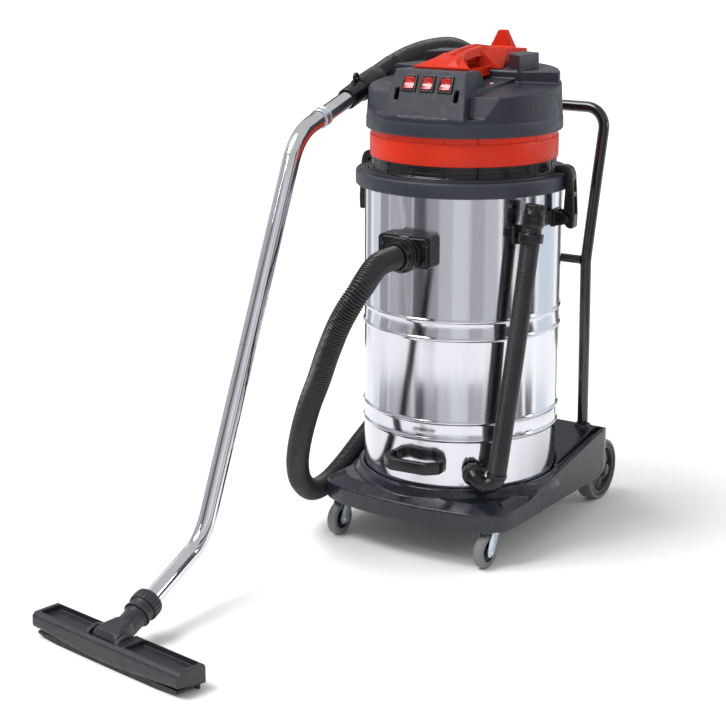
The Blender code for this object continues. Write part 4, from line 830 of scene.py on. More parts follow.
def latch(side, angle):
    """Bracket on the drum, and the curved lever that presses on the head's edge."""
    radius, height = LATCH_RADIUS, LATCH_Z
    wall = -DRUM_RADIUS + 0.006
    ear = rounded([(wall, height - 0.016), (wall, height + 0.02), (-radius - 0.001, height + 0.012),
            (-radius - 0.009, height), (-radius - 0.001, height - 0.01)], 0.006, 4, True)
    bracket = mesh_object("latch_mount_" + side, prism(ear, 0.0145, 0.0195, "x"))
    join(bracket, prism(ear, -0.0195, -0.0145, "x"))
    join(bracket, block((-0.0203, -DRUM_RADIUS - 0.0045, height - 0.0168),
            (0.0203, -0.205, height + 0.0208)))
    pin = aimed(turned([(0.0028, -0.018), (0.0028, 0.018)], 20), (0, -radius, height), (1, 0, 0))
    join(bracket, pin)
    combine(bracket, drum_cylinder(0.68, 0.8))
    bracket.data.transform(Matrix.Rotation(math.radians(angle), 4, "Z"))
    place(bevelled(bracket, 0.0007, 2), TANK, BLACK, "machine", "latch_bracket_" + side)

    claw_low = 0.835 + 0.0048
    outline = rounded([(-radius + 0.008, height - 0.006), (-radius - 0.002, height - 0.019),
            (-radius - 0.016, height - 0.02), (-radius - 0.017, height + 0.01), (-0.262, 0.8),
            (-0.259, 0.838), (-0.253, 0.852), (-0.24, 0.858), (-0.223, 0.856), (-0.215, 0.848),
            (-0.219, claw_low), (-0.242, claw_low), (-0.243, 0.8), (-radius + 0.008, height + 0.01)], 0.005,
            3, True)
    lever = mesh_object("latch_arm_" + side, prism(outline, -0.0135, 0.0135, "x"))
    for low_z, high_z in ((0.752, 0.79), (0.8, 0.826)):
        combine(lever, block((-0.0085, -0.272, low_z), (0.0085, -0.2575, high_z)))
    combine(lever, aimed(turned([(0.0036, -0.03), (0.0036, 0.03)], 20), (0, -radius, height), (1, 0, 0)))
    lever.data.transform(Matrix.Rotation(math.radians(angle), 4, "Z"))
    place(bevelled(lever, 0.0012, 3), TANK, BLACK, "latch_" + side, "latch_lever_" + side)


# ---------------------------------------------------------------- head

def seam_depth(angle, width, depth):
    """Depth of the upright seams at an angle round the head."""
    front = math.degrees(angle) + 90.0
    offset = (front - SEAM_START + SEAM_STEP / 2.0) % SEAM_STEP - SEAM_STEP / 2.0
    return depth if abs(offset) < width else 0.0


def head_rings():
    """Black skirt with its steps, and the red band with its recessed upper strip and seams."""
    skirt = [(0.196, 0.835), (0.2105, 0.835), (0.2115, 0.8358), (0.2115, 0.84), (0.2105, 0.8412),
            (0.2068, 0.8418), (0.206, 0.843), (0.206, 0.85), (0.2048, 0.8508), (0.2048, 0.86),
            (0.2055, 0.8608), (0.2055, 0.8653), (0.196, 0.8653)]

    def skirt_shape(angle, r, z):
        return (r - seam_depth(angle, 0.6, 0.0022) if r > 0.2 and z > 0.842 else r), z
    place(mesh_object("skirt_ring", turned(skirt, 360, loop=True, shape=skirt_shape)), TANK, BLACK, "head",
            "head_skirt", angle=SHARP_LATHE)

    step = BAND_HIGH - 0.013
    band = [(0.204, BAND_LOW), (BAND_RADIUS - 0.0016, BAND_LOW), (BAND_RADIUS - 0.0004, BAND_LOW + 0.001),
            (BAND_RADIUS, BAND_LOW + 0.003), (BAND_RADIUS, step - 0.0016),
            (BAND_RADIUS - 0.0006, step - 0.0004), (BAND_RADIUS - 0.0022, step),
            (BAND_RADIUS - 0.0022, BAND_HIGH), (0.204, BAND_HIGH)]

    def band_shape(angle, r, z):
        if r < 0.2045:
            return r, z
        return r - seam_depth(angle, 0.35, 0.0016 if z > step - 0.001 else 0.0002), z
    place(mesh_object("red_band_ring", turned(band, 720, loop=True, shape=band_shape)), TANK, RED, "head",
            "head_band", angle=SHARP_LATHE)


def cover_form(inset, segments=96):
    """Stack of rings for the cover's wall and shelf above its rim, moved inwards by inset."""
    return [circle(0.215 - inset, 0.93, segments), circle(0.215 - inset, 0.96, segments),
            circle(0.211 - inset, 1.0185 - inset, segments, RIDGE_SLOPE),
            circle(0.2085 - inset, 1.0215 - inset, segments, RIDGE_SLOPE),
            circle(0.03, 1.024 - inset, segments, RIDGE_SLOPE)]


def roof_step(grow=0.0):
    """Raised middle of the roof, between the switch panel and the rear."""
    plan = [(-0.09, -0.14), (0.09, -0.14), (0.107, 0.06), (0.107, 0.15), (-0.107, 0.15), (-0.107, 0.06)]
    return loft([[(x, y, 1.0) for x, y in plan], [(x * 0.985, y, 1.0295 + 0.08 * y + grow) for x,
            y in plan]])


def rear_tier(grow=0.0):
    """Higher rear part of the cover, round behind and nearly flat in front."""
    rings = []
    for radius, front, low in ((0.208, 0.033, True), (0.207, 0.034, False), (0.204, 0.037, False)):
        ring = []
        for k in range(33):
            angle = math.radians(104.0 + 152.0 * k / 32.0)
            ring.append((radius * math.sin(angle), -radius * math.cos(angle)))
        ring += [(-0.115, front), (0.115, front)]
        drop = 0.004 if radius > 0.205 else 0.0
        rings.append([(x, y, 1.0 if low else 1.0485 + 0.03 * y - drop + grow) for x, y in ring])
    return loft(rings)


def front_cut(side, setback):
    """Solid in front of the flat faces that stand beside the switch panel."""
    def face_y(x, z):
        lean = FACE_NORMAL[0] * (x - FACE_SPOT[0]) + FACE_NORMAL[2] * (z - FACE_SPOT[2])
        return FACE_SPOT[1] - lean / FACE_NORMAL[1] + setback
    low, high = 0.967, 1.1
    rings = []
    for x in (-0.001, 0.24):
        outline = ((-0.3, low), (face_y(abs(x), low), low), (face_y(abs(x), high), high), (-0.3, high))
        rings.append([(side * x, y, z) for y, z in outline])
    return loft(rings)


def panel_side(grow=0.0):
    """Side view (y, z) of the switch panel block."""
    return [(-0.206 - grow, 0.9655), (-0.165 - grow, 1.063 + grow), (-0.1 + grow, 1.06 + grow),
            (-0.07 + grow, 1.015), (-0.07 + grow, 0.99), (-0.15, 0.9655)]


def panel_block(grow=0.0):
    """Switch panel block: its sides spread towards the foot."""
    return loft([[(side * (PANEL_HALF + grow + max(0.0, 1.063 - z) * PANEL_SPREAD), y, z) for y,
            z in panel_side(grow)] for side in (-1, 1)])


def side_block(side, grow=0.0):
    """Raised block on a side of the rear."""
    inner, outer = 0.074 - grow, 0.117 + grow
    plan = [(side * inner, 0.066), (side * outer, 0.03), (side * (outer + 0.005), 0.125),
            (side * inner, 0.146)]
    return loft([[(x, y, 1.0) for x, y in plan], [(x * 0.985, y * 0.98 + 0.002, 1.0825) for x, y in plan]])


def cover_parts(grow=0.0):
    """Everything that stands on the cover's shelf, and the switch panel."""
    return [panel_block(grow), roof_step(grow), rear_tier(grow), side_block(-1, grow), side_block(1, grow)]


def on_panel(bm, x, along=0.0):
    """Place a solid built about the origin, +Z outwards and +Y up, on the panel's face."""
    up = PANEL_NORMAL.cross(Vector((1, 0, 0)))
    turn = Matrix((Vector((1, 0, 0)), up, PANEL_NORMAL)).transposed().to_4x4()
    bm.transform(Matrix.Translation(Vector((x, *PANEL_POINT)) + up * along) @ turn)
    return bm


def cover():
    """Slate cover: rim, sloping wall and roof, switch panel, facets and stepped side blocks."""
    rim = [(0.206, 0.927), (0.215, 0.927), (0.2164, 0.9282), (0.2168, 0.931), (0.2164, 0.952),
            (0.215, 0.9566), (0.212, 0.959), (0.208, 0.9596), (0.206, 0.959)]
    place(mesh_object("cover_rim", turned(rim, 160, loop=True)), TANK, SLATE, "head", "head_cover",
            angle=SHARP_LATHE)

    shell = mesh_object("cover_shell", loft(cover_form(0.0)))
    cavity = mesh_object("cavity", loft(cover_form(COVER_WALL, 48)))
    for side in (-1, 1):
        combine(shell, front_cut(side, 0.0))
        combine(cavity, front_cut(side, COVER_WALL))
    join(shell, *cover_parts())
    for side in (-1, 1):
        slot = on_panel(prism(rounded([(-0.0048, -0.0135), (0.0048, -0.0135), (0.0048, 0.0135),
                (-0.0048, 0.0135)], 0.0045, 4, True), -0.012, 0.01), side * 0.07, -0.0245)
        combine(shell, slot)
    hollow = [(-0.19, 0.972), (-0.1585, 1.055), (-0.105, 1.053), (-0.08, 1.01), (-0.08, 0.972)]
    join(cavity, prism(hollow, -PANEL_HALF + 0.006, PANEL_HALF - 0.006, "x"))
    combine(shell, cavity)
    for x in SWITCH_X:
        combine(shell, on_panel(block((-0.0155, -0.0173, -0.04), (0.0155, 0.0173, 0.02)), x))
    place(moulded(shell, SKIN_HEAD, 3), TANK, SLATE, "head")

    for side in (-1, 1):
        screw = turned([(0.005, -0.004), (0.005, 0.0005), (0.0042, 0.0018), (0.0018, 0.0024)], 28)
        cross = block((-0.0007, -0.0032, 0.0012), (0.0007, 0.0032, 0.005))
        head_of_screw = mesh_object("cover_screw_%s" % ("left" if side < 0 else "right"), screw)
        combine(head_of_screw, cross)
        place(head_of_screw, TANK @ Matrix.Translation((side * SCREW_SPOT[0], SCREW_SPOT[1],
                SCREW_SPOT[2])), ZINC, "head")


def switches():
    """Three lit rockers with bowed faces, each in a bezel of its own."""
    for number, x in enumerate(SWITCH_X, start=1):
        outer_x, outer_y = 0.0168, 0.0186
        bezel = mesh_object("switch_bezel_%d" % number, on_panel(block((-outer_x, -outer_y, 0.0003),
                (outer_x, outer_y, 0.0032)), x))
        join(bezel, on_panel(block((-0.0148, -0.0166, -0.018), (0.0148, 0.0166, 0.001)), x))
        combine(bezel, on_panel(block((-0.0124, -0.0144, -0.014), (0.0124, 0.0144, 0.01)), x))
        place(bevelled(bezel, 0.0007, 3), TANK, BLACK, "head", "switch_frame_%d" % number)
        side = rounded([(-0.0122, -0.01), (0.0122, -0.01), (0.0129, 0.0038), (0.0055, 0.0016), (0.0, 0.001),
                (-0.006, 0.0028), (-0.0127, 0.0062), (-0.0127, 0.001)], 0.0013, 3, True)
        rocker = mesh_object("rocker_lens_%d" % number, on_panel(prism(side, -0.0114, 0.0114, "x"), x))
        place(bevelled(rocker, 0.0007, 3), TANK, LENS, "rocker_%d" % number, "rocker_%d" % number)


def handle_section(y, low_half, top_half, low, top):
    """Four-sided cross-section of the handle."""
    return [(-low_half, y, low), (low_half, y, low), (top_half, y, top), (-top_half, y, top)]


def top_handle():
    """Red carrying handle: wide front foot with a wedge, ridged bridge, flared tail with a fin."""
    s = handle_section
    grip_body = mesh_object("red_handle", loft([s(-0.118, 0.07, 0.068, 1.015, 1.0655),
            s(-0.085, 0.056, 0.036, 1.015, 1.08), s(-0.05, 0.04, 0.026, 1.015, 1.09)]))
    parts = [[s(-0.052, 0.0262, 0.02, 1.074, 1.09), s(0.0, 0.0258, 0.019, 1.078, 1.095),
            s(0.0425, 0.0264, 0.02, 1.0775, 1.0975)], [s(-0.07, 0.01, 0.003, 1.06, 1.09),
            s(-0.03, 0.012, 0.0045, 1.07, 1.0975), s(0.05, 0.012, 0.005, 1.07, 1.102),
            s(0.12, 0.012, 0.004, 1.07, 1.093)], [s(0.04, 0.046, 0.0205, 1.037, 1.098),
            s(0.055, 0.06, 0.024, 1.036, 1.096), s(0.11, 0.05, 0.025, 1.036, 1.09),
            s(0.155, 0.046, 0.03, 1.045, 1.086), s(0.2055, 0.058, 0.056, 1.05, 1.0835)],
            [s(-0.078, 0.043, 0.04, 1.036, 1.0555), s(0.062, 0.044, 0.042, 1.037, 1.056)],
            [[(0.004, -0.1175, 1.06), (0.046, -0.1175, 1.06), (0.034, -0.066, 1.072),
            (0.01, -0.066, 1.072)], [(0.021, -0.106, 1.079), (0.029, -0.106, 1.079), (0.025, -0.07, 1.089),
            (0.019, -0.07, 1.089)]]]
    for side in (-1, 1):
        plan = ((side * 0.018, 0.03), (side * 0.04, 0.14), (side * 0.068, 0.045))
        parts.append([[(x, y, z) for (x, y), z in zip(plan, levels)] for levels in ((1.097, 1.088, 1.044),
                (1.036, 1.036, 1.037))])
    join(grip_body, *[loft(rings) for rings in parts])
    fin = [(-0.034, 1.074), (0.034, 1.074), (0.0085, 1.1225), (-0.0085, 1.1225)]
    join(grip_body, prism(fin, 0.186, 0.205, "y"))
    for part in [loft(cover_form(-0.0004))] + cover_parts(0.0004):
        combine(grip_body, part)
    place(moulded(grip_body, SKIN_HEAD, 3), TANK, RED, "head", "top_handle")


def cable_gland():
    """Ribbed gland at the back of the head where a mains cable would enter."""
    profile = [(0.013, 0.0), (0.013, 0.0045), (0.0122, 0.006), (0.01, 0.0066)]
    for k in range(4):
        z = 0.0075 + 0.0036 * k
        profile += [(0.0098 - 0.0003 * k, z), (0.0098 - 0.0003 * k, z + 0.0018), (0.0084, z + 0.0024)]
    profile += [(0.008, 0.022), (0.0042, 0.022), (0.0042, 0.0)]
    place(mesh_object("cable_gland_boot", aimed(turned(profile, 40, loop=True), GLAND_SPOT, (0, 1, 0))),
            TANK, SEAL, "head", "cable_gland")


def inner_works():
    """Motor plate, motors, impellers, float cage and ball, seen when the head is off."""
    plate = [(0.004, BAND_LOW), (0.199, BAND_LOW), (0.203, BAND_LOW + 0.0008), (0.203, BAND_LOW + 0.003),
            (0.004, BAND_LOW + 0.003)]
    carrier = mesh_object("motor_carrier", turned(plate, 128, loop=True))
    base = BAND_LOW + 0.003 + GAP
    centres = [polar(MOTOR_RING, angle, 0.0) for angle in MOTOR_ANGLES]
    for centre in centres:
        combine(carrier, moved(turned([(0.028, 0.85), (0.028, 0.88)], 48), *centre))
    for k in range(9):
        nub = turned([(0.0045, BAND_LOW - 0.0018), (0.0052, BAND_LOW + 0.001)], 6)
        join(carrier, moved(nub, *polar(0.178, 20 + 40 * k, 0.0)))
    place(carrier, TANK, ALUMINIUM, "head", "motor_plate")
    for number, centre in enumerate(centres, start=1):
        case = [(0.03, base), (0.069, base), (0.07, base + 0.001), (0.07, base + 0.048),
                (0.068, base + 0.0505), (0.0435, base + 0.052), (0.043, base + 0.106),
                (0.0415, base + 0.108), (0.01, base + 0.108), (0.01, base + 0.105), (0.04, base + 0.105),
                (0.04, base + 0.047), (0.067, base + 0.047), (0.067, base + 0.003), (0.03, base + 0.003)]

        def fins(angle, r, z):
            return (r - 0.0012 * max(0.0, math.cos(24 * angle)) if 0.042 < r < 0.069 else r), z
        case = moved(turned(case, 144, loop=True, shape=fins), *centre)
        place(mesh_object("motor_case_%d" % number, case), TANK, ALUMINIUM, "head", "motor_%d" % number)
        spindle = [(0.004, base + 0.01), (0.02, base + 0.01), (0.062, base + 0.01), (0.062, base + 0.024),
                (0.006, base + 0.03), (0.006, base + 0.06), (0.028, base + 0.06), (0.028, base + 0.094),
                (0.006, base + 0.096), (0.006, base + 0.103), (0.004, base + 0.103)]

        def blades(angle, r, z):
            return (r - 0.003 * max(0.0, math.cos(9 * angle + 60 * z)) if r > 0.05 else r), z
        fan = moved(turned(spindle, 108, loop=True, shape=blades), *centre)
        place(mesh_object("impeller_%d" % number, fan), TANK, ALUMINIUM, "rotor_%d" % number,
                "rotor_%d" % number)
    top = BAND_LOW - GAP
    cage = [(0.15, top), (0.15, 0.843), (0.149, 0.842), (0.053, 0.842), (0.052, 0.841), (0.052, 0.7465),
            (0.0505, 0.745), (0.016, 0.745), (0.016, 0.748), (0.049, 0.748), (0.049, 0.845), (0.147, 0.845),
            (0.147, top)]
    basket = mesh_object("float_basket", turned(cage, 96, loop=True))
    for turn in range(0, 180, 30):
        combine(basket, about_drum(block((-0.008, -0.08, 0.757), (0.008, 0.08, 0.828)), turn))
    place(basket, TANK, BLACK, "head", "float_cage")
    ball = []
    for k in range(1, 32):
        turn = math.pi * k / 32.0
        ball.append((0.028 * math.sin(turn) + (0.0004 if k == 16 else 0.0),
                0.7764 - 0.028 * math.cos(turn)))
    place(mesh_object("float_sphere", turned(ball, 64)), TANK, SEAL, "float", "float_ball")


# ---------------------------------------------------------------- trolley

def base_outline(inset=0.0, smooth=0.01):
    """Plan of the trolley base: straight sides, rounded corners and a bowed front."""
    half, rear = 0.238 - inset, 0.304 - inset
    right = [(half - 0.028, rear), (half - 0.008, rear - 0.008), (half, rear - 0.028), (half, -0.18),
            (half - 0.006, -0.203 + inset), (half - 0.024, -0.224 + inset)]
    front = [(x, -0.263 + inset + 0.024 * (x / 0.19) ** 2) for x in (0.165, 0.11, 0.055, 0.0)]
    points = right + front
    points += [(-x, y) for x, y in points[::-1] if x > 0.0]
    return rounded(points, smooth, 3, True)


def above_rails(drop):
    """Everything above the base's top surface, lowered by drop."""
    level = 0.141 - drop
    return prism([(-0.4, level), (-0.045, level), (0.276, level + 0.06), (0.305, level + 0.05),
            (0.305, 0.4), (-0.4, 0.4)], -0.4, 0.4, "x")


def trolley_base():
    """Moulded base: apron, side rails with a groove inside them, drum rim, arches and lugs."""
    wall, recess, rim, rim_top = 0.004, 0.2212, 0.234, 0.158
    def plans(*levels):
        return loft([[(x, y, z) for x, y in base_outline(inset)] for inset, z in levels])
    cavity = mesh_object("cavity", plans((wall, 0.05), (wall, 0.115), (0.036, 0.133)))
    base = mesh_object("base_moulding", prism(base_outline(), 0.085, 0.24))
    combine(base, above_rails(0.0))
    kept = mesh_object("kept", plans((-0.002, 0.05), (-0.002, 0.1235), (0.03, 0.1412), (0.03, 0.3)))
    join(kept, prism([(-0.11, 0.05), (-0.11, 0.124), (-0.03, 0.144), (-0.03, 0.3), (0.4, 0.3), (0.4, 0.05)],
            -0.3, 0.3, "x"))
    combine(base, kept, "INTERSECT")
    for side in (-1, 1):
        groove = [(side * x, y, z) for x, y, z in ((0.229, 0.28, 0.185), (0.212, 0.28, 0.185),
                (0.212, 0.04, 0.148), (0.229, 0.01, 0.144))]
        combine(base, loft([groove, [(x, y, 0.26) for x, y, z in groove]]))
    join(base, turned([(rim + 0.009, 0.125), (rim + 0.006, 0.142), (rim, rim_top - 0.004),
            (rim - 0.003, rim_top - 0.0004), (rim - 0.006, rim_top)], 128))
    combine(base, cavity)
    combine(base, turned([(recess, DRUM_FLOOR - GAP), (recess, 0.3)], 128))
    for side in (-1, 1):
        boss = turned([(0.0205, 0.15), (0.019, 0.203), (0.0175, 0.205)], 40)
        join(base, moved(boss, side * HANDLE_X, 0.268))
        arch = turned([(0.083, 0.16), (0.083, 0.2115)], 64)
        combine(base, aimed(arch, (0, AXLE_Y, WHEEL_RADIUS), (side, 0, 0)))
        lug = rounded([(0.262, 0.172), (0.262, 0.12), (AXLE_Y - 0.012, WHEEL_RADIUS - 0.01),
                (AXLE_Y, WHEEL_RADIUS - 0.014), (AXLE_Y + 0.012, WHEEL_RADIUS - 0.008),
                (AXLE_Y + 0.014, WHEEL_RADIUS + 0.006), (0.303, 0.16)], 0.005, 3, True)
        notch = [(0.245, 0.08), (0.258, 0.088), (0.31, 0.109), (0.33, 0.08)]
        near, far = sorted((side * 0.2, side * 0.26))
        combine(base, prism(notch, near, far, "x"))
        near, far = sorted((side * 0.128, side * 0.142))
        join(base, prism(lug, near, far, "x"))
        foot = block((side * CASTER_X - 0.03, CASTER_Y - 0.0205, 0.0852),
                (side * CASTER_X + 0.03, CASTER_Y + 0.03, 0.1193))
        join(base, foot)
        socket = rod([Vector((side * HANDLE_X, 0.27, 0.164)), Vector((side * HANDLE_X, 0.2666, 0.29))],
                HANDLE_TUBE + 0.001, 32)
        combine(base, socket)
    hole = turned([(0.0068, -0.3), (0.0068, 0.3)], 24)
    combine(base, aimed(hole, (0, AXLE_Y, WHEEL_RADIUS), (1, 0, 0)))
    place(moulded(base, SKIN_BASE, 4), TROLLEY, BASE, "machine", "trolley_base")


def rear_wheels():
    """Axle with domed caps, black hubs with a dished rim, and beige tyres with a ribbed tread."""
    reach = WHEEL_X + WHEEL_WIDTH / 2.0 + 0.0004
    shaft = [(0.006, 0.0), (0.006, reach), (0.012, reach + 0.0004), (0.012, reach + 0.002)]
    axle = turned([(r, -x) for r, x in shaft[:0:-1]] + shaft, 48)
    place(mesh_object("rear_axle_rod", aimed(axle, (0, AXLE_Y, WHEEL_RADIUS), (1, 0, 0))), TROLLEY, ZINC,
            "machine", "rear_axle")
    dome = [(0.0165, reach + 0.0002), (0.0168, reach + 0.0034), (0.0157, reach + 0.006),
            (0.0125, reach + 0.0082), (0.008, reach + 0.0093), (0.002, reach + 0.0096)]
    for side, label in ((-1, "left"), (1, "right")):
        cap = aimed(turned(dome, 48), (0, AXLE_Y, WHEEL_RADIUS), (side, 0, 0))
        place(mesh_object("axle_cap_" + label, cap), TROLLEY, BLACK, "machine")
    half, rim = WHEEL_WIDTH / 2.0, WHEEL_RADIUS - 0.0085
    for side, label in ((-1, "left"), (1, "right")):
        pivot, direction = (side * WHEEL_X, AXLE_Y, WHEEL_RADIUS), (side, 0, 0)
        body = "rear_wheel_" + label
        tyre = mirrored([(rim, half), (WHEEL_RADIUS - 0.005, half), (WHEEL_RADIUS - 0.0016, half - 0.0016),
                (WHEEL_RADIUS, half - 0.005), (WHEEL_RADIUS, 0.0008)])
        tyre.insert(5, (WHEEL_RADIUS - 0.0016, 0.0))

        def tread(angle, r, z):
            lug = 0.0 if (math.degrees(angle) % 6.0) < 4.2 else 0.0018
            return (r - lug if r > WHEEL_RADIUS - 0.002 else r), z
        place(mesh_object("rear_tread_" + label, aimed(turned(tyre, 360, loop=True, shape=tread), pivot,
                direction)), TROLLEY, BEIGE_RUBBER, body, "rear_tyre_" + label, angle=25.0)
        inner = rim - 0.0004
        face = [(0.0066, half), (0.017, half), (0.018, half - 0.001), (0.02, half - 0.006),
                (0.05, half - 0.0085), (0.053, half - 0.003), (inner - 0.002, half - 0.0012),
                (inner, half - 0.002)]
        hub = mirrored(face)

        def spokes(angle, r, z):
            sink = 0.0016 * max(0.0, math.cos(6 * angle)) if 0.019 < r < 0.051 else 0.0
            return r, z - math.copysign(sink, z)
        place(mesh_object("rear_disc_" + label, aimed(turned(hub, 96, loop=True, shape=spokes), pivot,
                direction)), TROLLEY, BLACK, body, "rear_hub_" + label, angle=SHARP_LATHE)


def casters():
    """Swivel casters: mounting plate with bolts, fork with its head bearing, tyre and hub."""
    for side, label in ((-1, "left"), (1, "right")):
        x = side * CASTER_X
        plate_top = 0.0847
        plate = mesh_object("caster_mount_" + label, block((x - 0.028, CASTER_Y - 0.022, plate_top - 0.003),
                (x + 0.028, CASTER_Y + 0.022, plate_top)))
        plate = bevelled(plate, 0.0012, 2)
        for bolt_x in (-0.0215, 0.0215):
            for bolt_y in (-0.0155, 0.0155):
                bolt = turned([(0.004, -0.0022), (0.0046, -0.0018), (0.0046, 0.001)], 6)
                join(plate, moved(bolt, x + bolt_x, CASTER_Y + bolt_y, plate_top - 0.003))
        place(plate, TROLLEY, ZINC, "machine", "caster_plate_" + label)
        crown_top = plate_top - 0.003 - GAP
        head = turned([(0.017, crown_top - 0.0042), (0.0195, crown_top - 0.0034),
                (0.0205, crown_top - 0.002), (0.02, crown_top)], 48)
        fork = mesh_object("caster_yoke_" + label, moved(head, x, CASTER_Y))
        axle_y = CASTER_Y - CASTER_TRAIL
        inside = CASTER_WIDTH / 2.0 + 0.0015
        outside = inside + 0.0022
        cheek = rounded([(CASTER_Y + 0.015, crown_top - 0.001), (CASTER_Y - 0.018, crown_top - 0.001),
                (axle_y - 0.014, CASTER_RADIUS + 0.008), (axle_y - 0.012, CASTER_RADIUS - 0.011),
                (axle_y + 0.012, CASTER_RADIUS - 0.011), (axle_y + 0.018, CASTER_RADIUS + 0.006)], 0.007, 4,
                True)
        for near, far in ((x + inside, x + outside), (x - outside, x - inside)):
            join(fork, prism(cheek, near, far, "x"))
        bridge = block((x - outside, CASTER_Y - 0.016, crown_top - 0.0038),
                (x + outside, CASTER_Y + 0.014, crown_top - 0.001))
        join(fork, bridge)
        pin = [(0.004, -outside - 0.0032), (0.0052, -outside - 0.0028), (0.0052, -outside + 0.0005),
                (0.003, -outside + 0.0006), (0.003, outside - 0.0006), (0.0056, outside - 0.0005),
                (0.0056, outside + 0.003), (0.004, outside + 0.0036)]
        join(fork, aimed(turned(pin, 24), (x, axle_y, CASTER_RADIUS), (1, 0, 0)))
        place(bevelled(fork, 0.0005, 2), TROLLEY, ZINC, "caster_swivel_" + label, "caster_fork_" + label)
        pivot, half = (x, axle_y, CASTER_RADIUS), CASTER_WIDTH / 2.0
        tyre = mirrored([(0.024, half - 0.002), (0.0325, half - 0.0006), (0.035, half - 0.0016),
                (0.0368, half - 0.004), (CASTER_RADIUS, half - 0.0075)])
        wheel = "caster_wheel_" + label
        place(mesh_object("caster_tread_" + label, aimed(turned(tyre, 80, loop=True), pivot, (1, 0, 0))),
                TROLLEY, GREY_RUBBER, wheel, "caster_tyre_" + label, angle=SHARP_TUBE)
        hub = mirrored([(0.0037, half), (0.0105, half), (0.0112, half - 0.0008), (0.012, half - 0.004),
                (0.0225, half - 0.005), (0.0235, half - 0.0035)])
        place(mesh_object("caster_core_" + label, aimed(turned(hub, 64, loop=True), pivot, (1, 0, 0))),
                TROLLEY, BLACK, wheel, "caster_hub_" + label, angle=35.0)


def push_handle():
    """Gloss black tubular handle standing in the base, with its welded brace."""
    def upright(side):
        return [Vector((side * HANDLE_X, y, z)) for y, z in ((0.27, 0.165), (0.258, 0.6), (0.3, 0.78),
                (0.34, 0.943))]
    path = filleted(upright(1) + upright(-1)[::-1], 0.05, 12)
    handle = mesh_object("handle_tube", pipe(path, HANDLE_TUBE, HANDLE_TUBE - 0.0015, 36))
    reach = HANDLE_X - HANDLE_TUBE + 0.0012
    flare = mirrored([(0.0125, reach), (0.0104, reach - 0.004), (0.01, reach - 0.006)])
    join(handle, aimed(turned(flare, 36), (0, 0.2595, 0.6), (1, 0, 0)))
    place(handle, TROLLEY, PAINT, "machine", "push_handle", angle=45.0)


# ---------------------------------------------------------------- wand and floor tool

def wand():
    """Two bent chromed tubes, the ferrule at their joint, the air slider and the hose cuff."""
    knee, elbow = wand_point(*WAND_KNEE), wand_point(*WAND_ELBOW)
    seam = knee.lerp(elbow, SEAM_SHARE)
    rise = (elbow - knee).normalized()
    bore = WAND_RADIUS - 0.0012
    lower = filleted([wand_point(*WAND_LOW), knee, seam], WAND_BEND, 24)
    place(mesh_object("wand_tube_lower", pipe(lower, WAND_RADIUS, bore, 56)), TROLLEY, CHROME, "wand",
            "wand_lower", angle=SHARP_TUBE)
    upper = filleted([seam + rise * 0.0006, elbow, wand_point(*WAND_HIGH)], WAND_BEND, 24)
    place(mesh_object("wand_tube_upper", pipe(upper, WAND_RADIUS, bore, 56)), TROLLEY, CHROME, "wand",
            "wand_upper", angle=SHARP_TUBE)
    spigot = pipe([seam - rise * 0.045, seam + rise * 0.001], bore - 0.0007, bore - 0.0018, 48)
    place(mesh_object("wand_spigot", spigot), TROLLEY, CHROME, "wand", angle=SHARP_TUBE)

    heading = wand_heading()
    spot = wand_point(SLIDER_ALONG, WAND_ELBOW[1] + (SLIDER_ALONG - WAND_ELBOW[0]) * 0.25)
    inner = WAND_RADIUS + 0.0005
    sleeve = mirrored([(inner, 0.0125), (inner + 0.0018, 0.0125), (inner + 0.0028, 0.0115),
            (inner + 0.0028, 0.007), (inner + 0.002, 0.0062)])
    slider = mesh_object("air_slider_ring", aimed(turned(sleeve, 72, loop=True), spot, heading))
    place(slider, TROLLEY, ZINC, "air_slider", "air_slider")

    start = wand_point(*CUFF_START)
    cuff = [(WAND_RADIUS + 0.0008, 0.0), (0.023, 0.0), (0.0236, 0.0008), (0.024, 0.03), (0.0242, 0.059),
            (0.0262, 0.06), (0.0272, 0.0615), (0.0276, 0.068), (0.0268, 0.069), (0.0268, 0.072),
            (0.0278, 0.073), (0.0284, 0.11), (0.0282, 0.142), (0.027, 0.144)]
    for k in range(13):
        z = 0.146 + 0.0062 * k
        cuff += [(0.0254, z), (0.0266, z + 0.0012), (0.0268, z + 0.003), (0.0256, z + 0.0044)]
    cuff += [(0.0255, 0.23), (0.018, 0.23), (0.018, 0.06), (WAND_RADIUS + 0.0008, 0.058)]
    side_way = heading.cross(Vector((0, 0, 1))).normalized()
    up = side_way.cross(heading).normalized()
    body = mesh_object("hose_cuff_at_wand", aimed(turned(cuff, 72, loop=True), start, heading))
    place(body, TROLLEY, BLACK, "machine", "hose_end_cuff", angle=32.0)
    eye = turned(mirrored([(0.005, 0.0035), (0.0095, 0.0035), (0.0105, 0.0022)]), 32, loop=True)
    place(mesh_object("cuff_hook_eye", aimed(eye, start + heading * 0.052 + up * 0.033, side_way)), TROLLEY,
            BLACK, "machine")


def tool_turned(bm):
    """Turn a solid about the upright line through the tool's pivot, as the tool stands."""
    spot = Matrix.Translation(TOOL_PIVOT)
    bm.transform(spot @ Matrix.Rotation(math.radians(TOOL_TURN), 4, "Z") @ spot.inverted())
    return bm


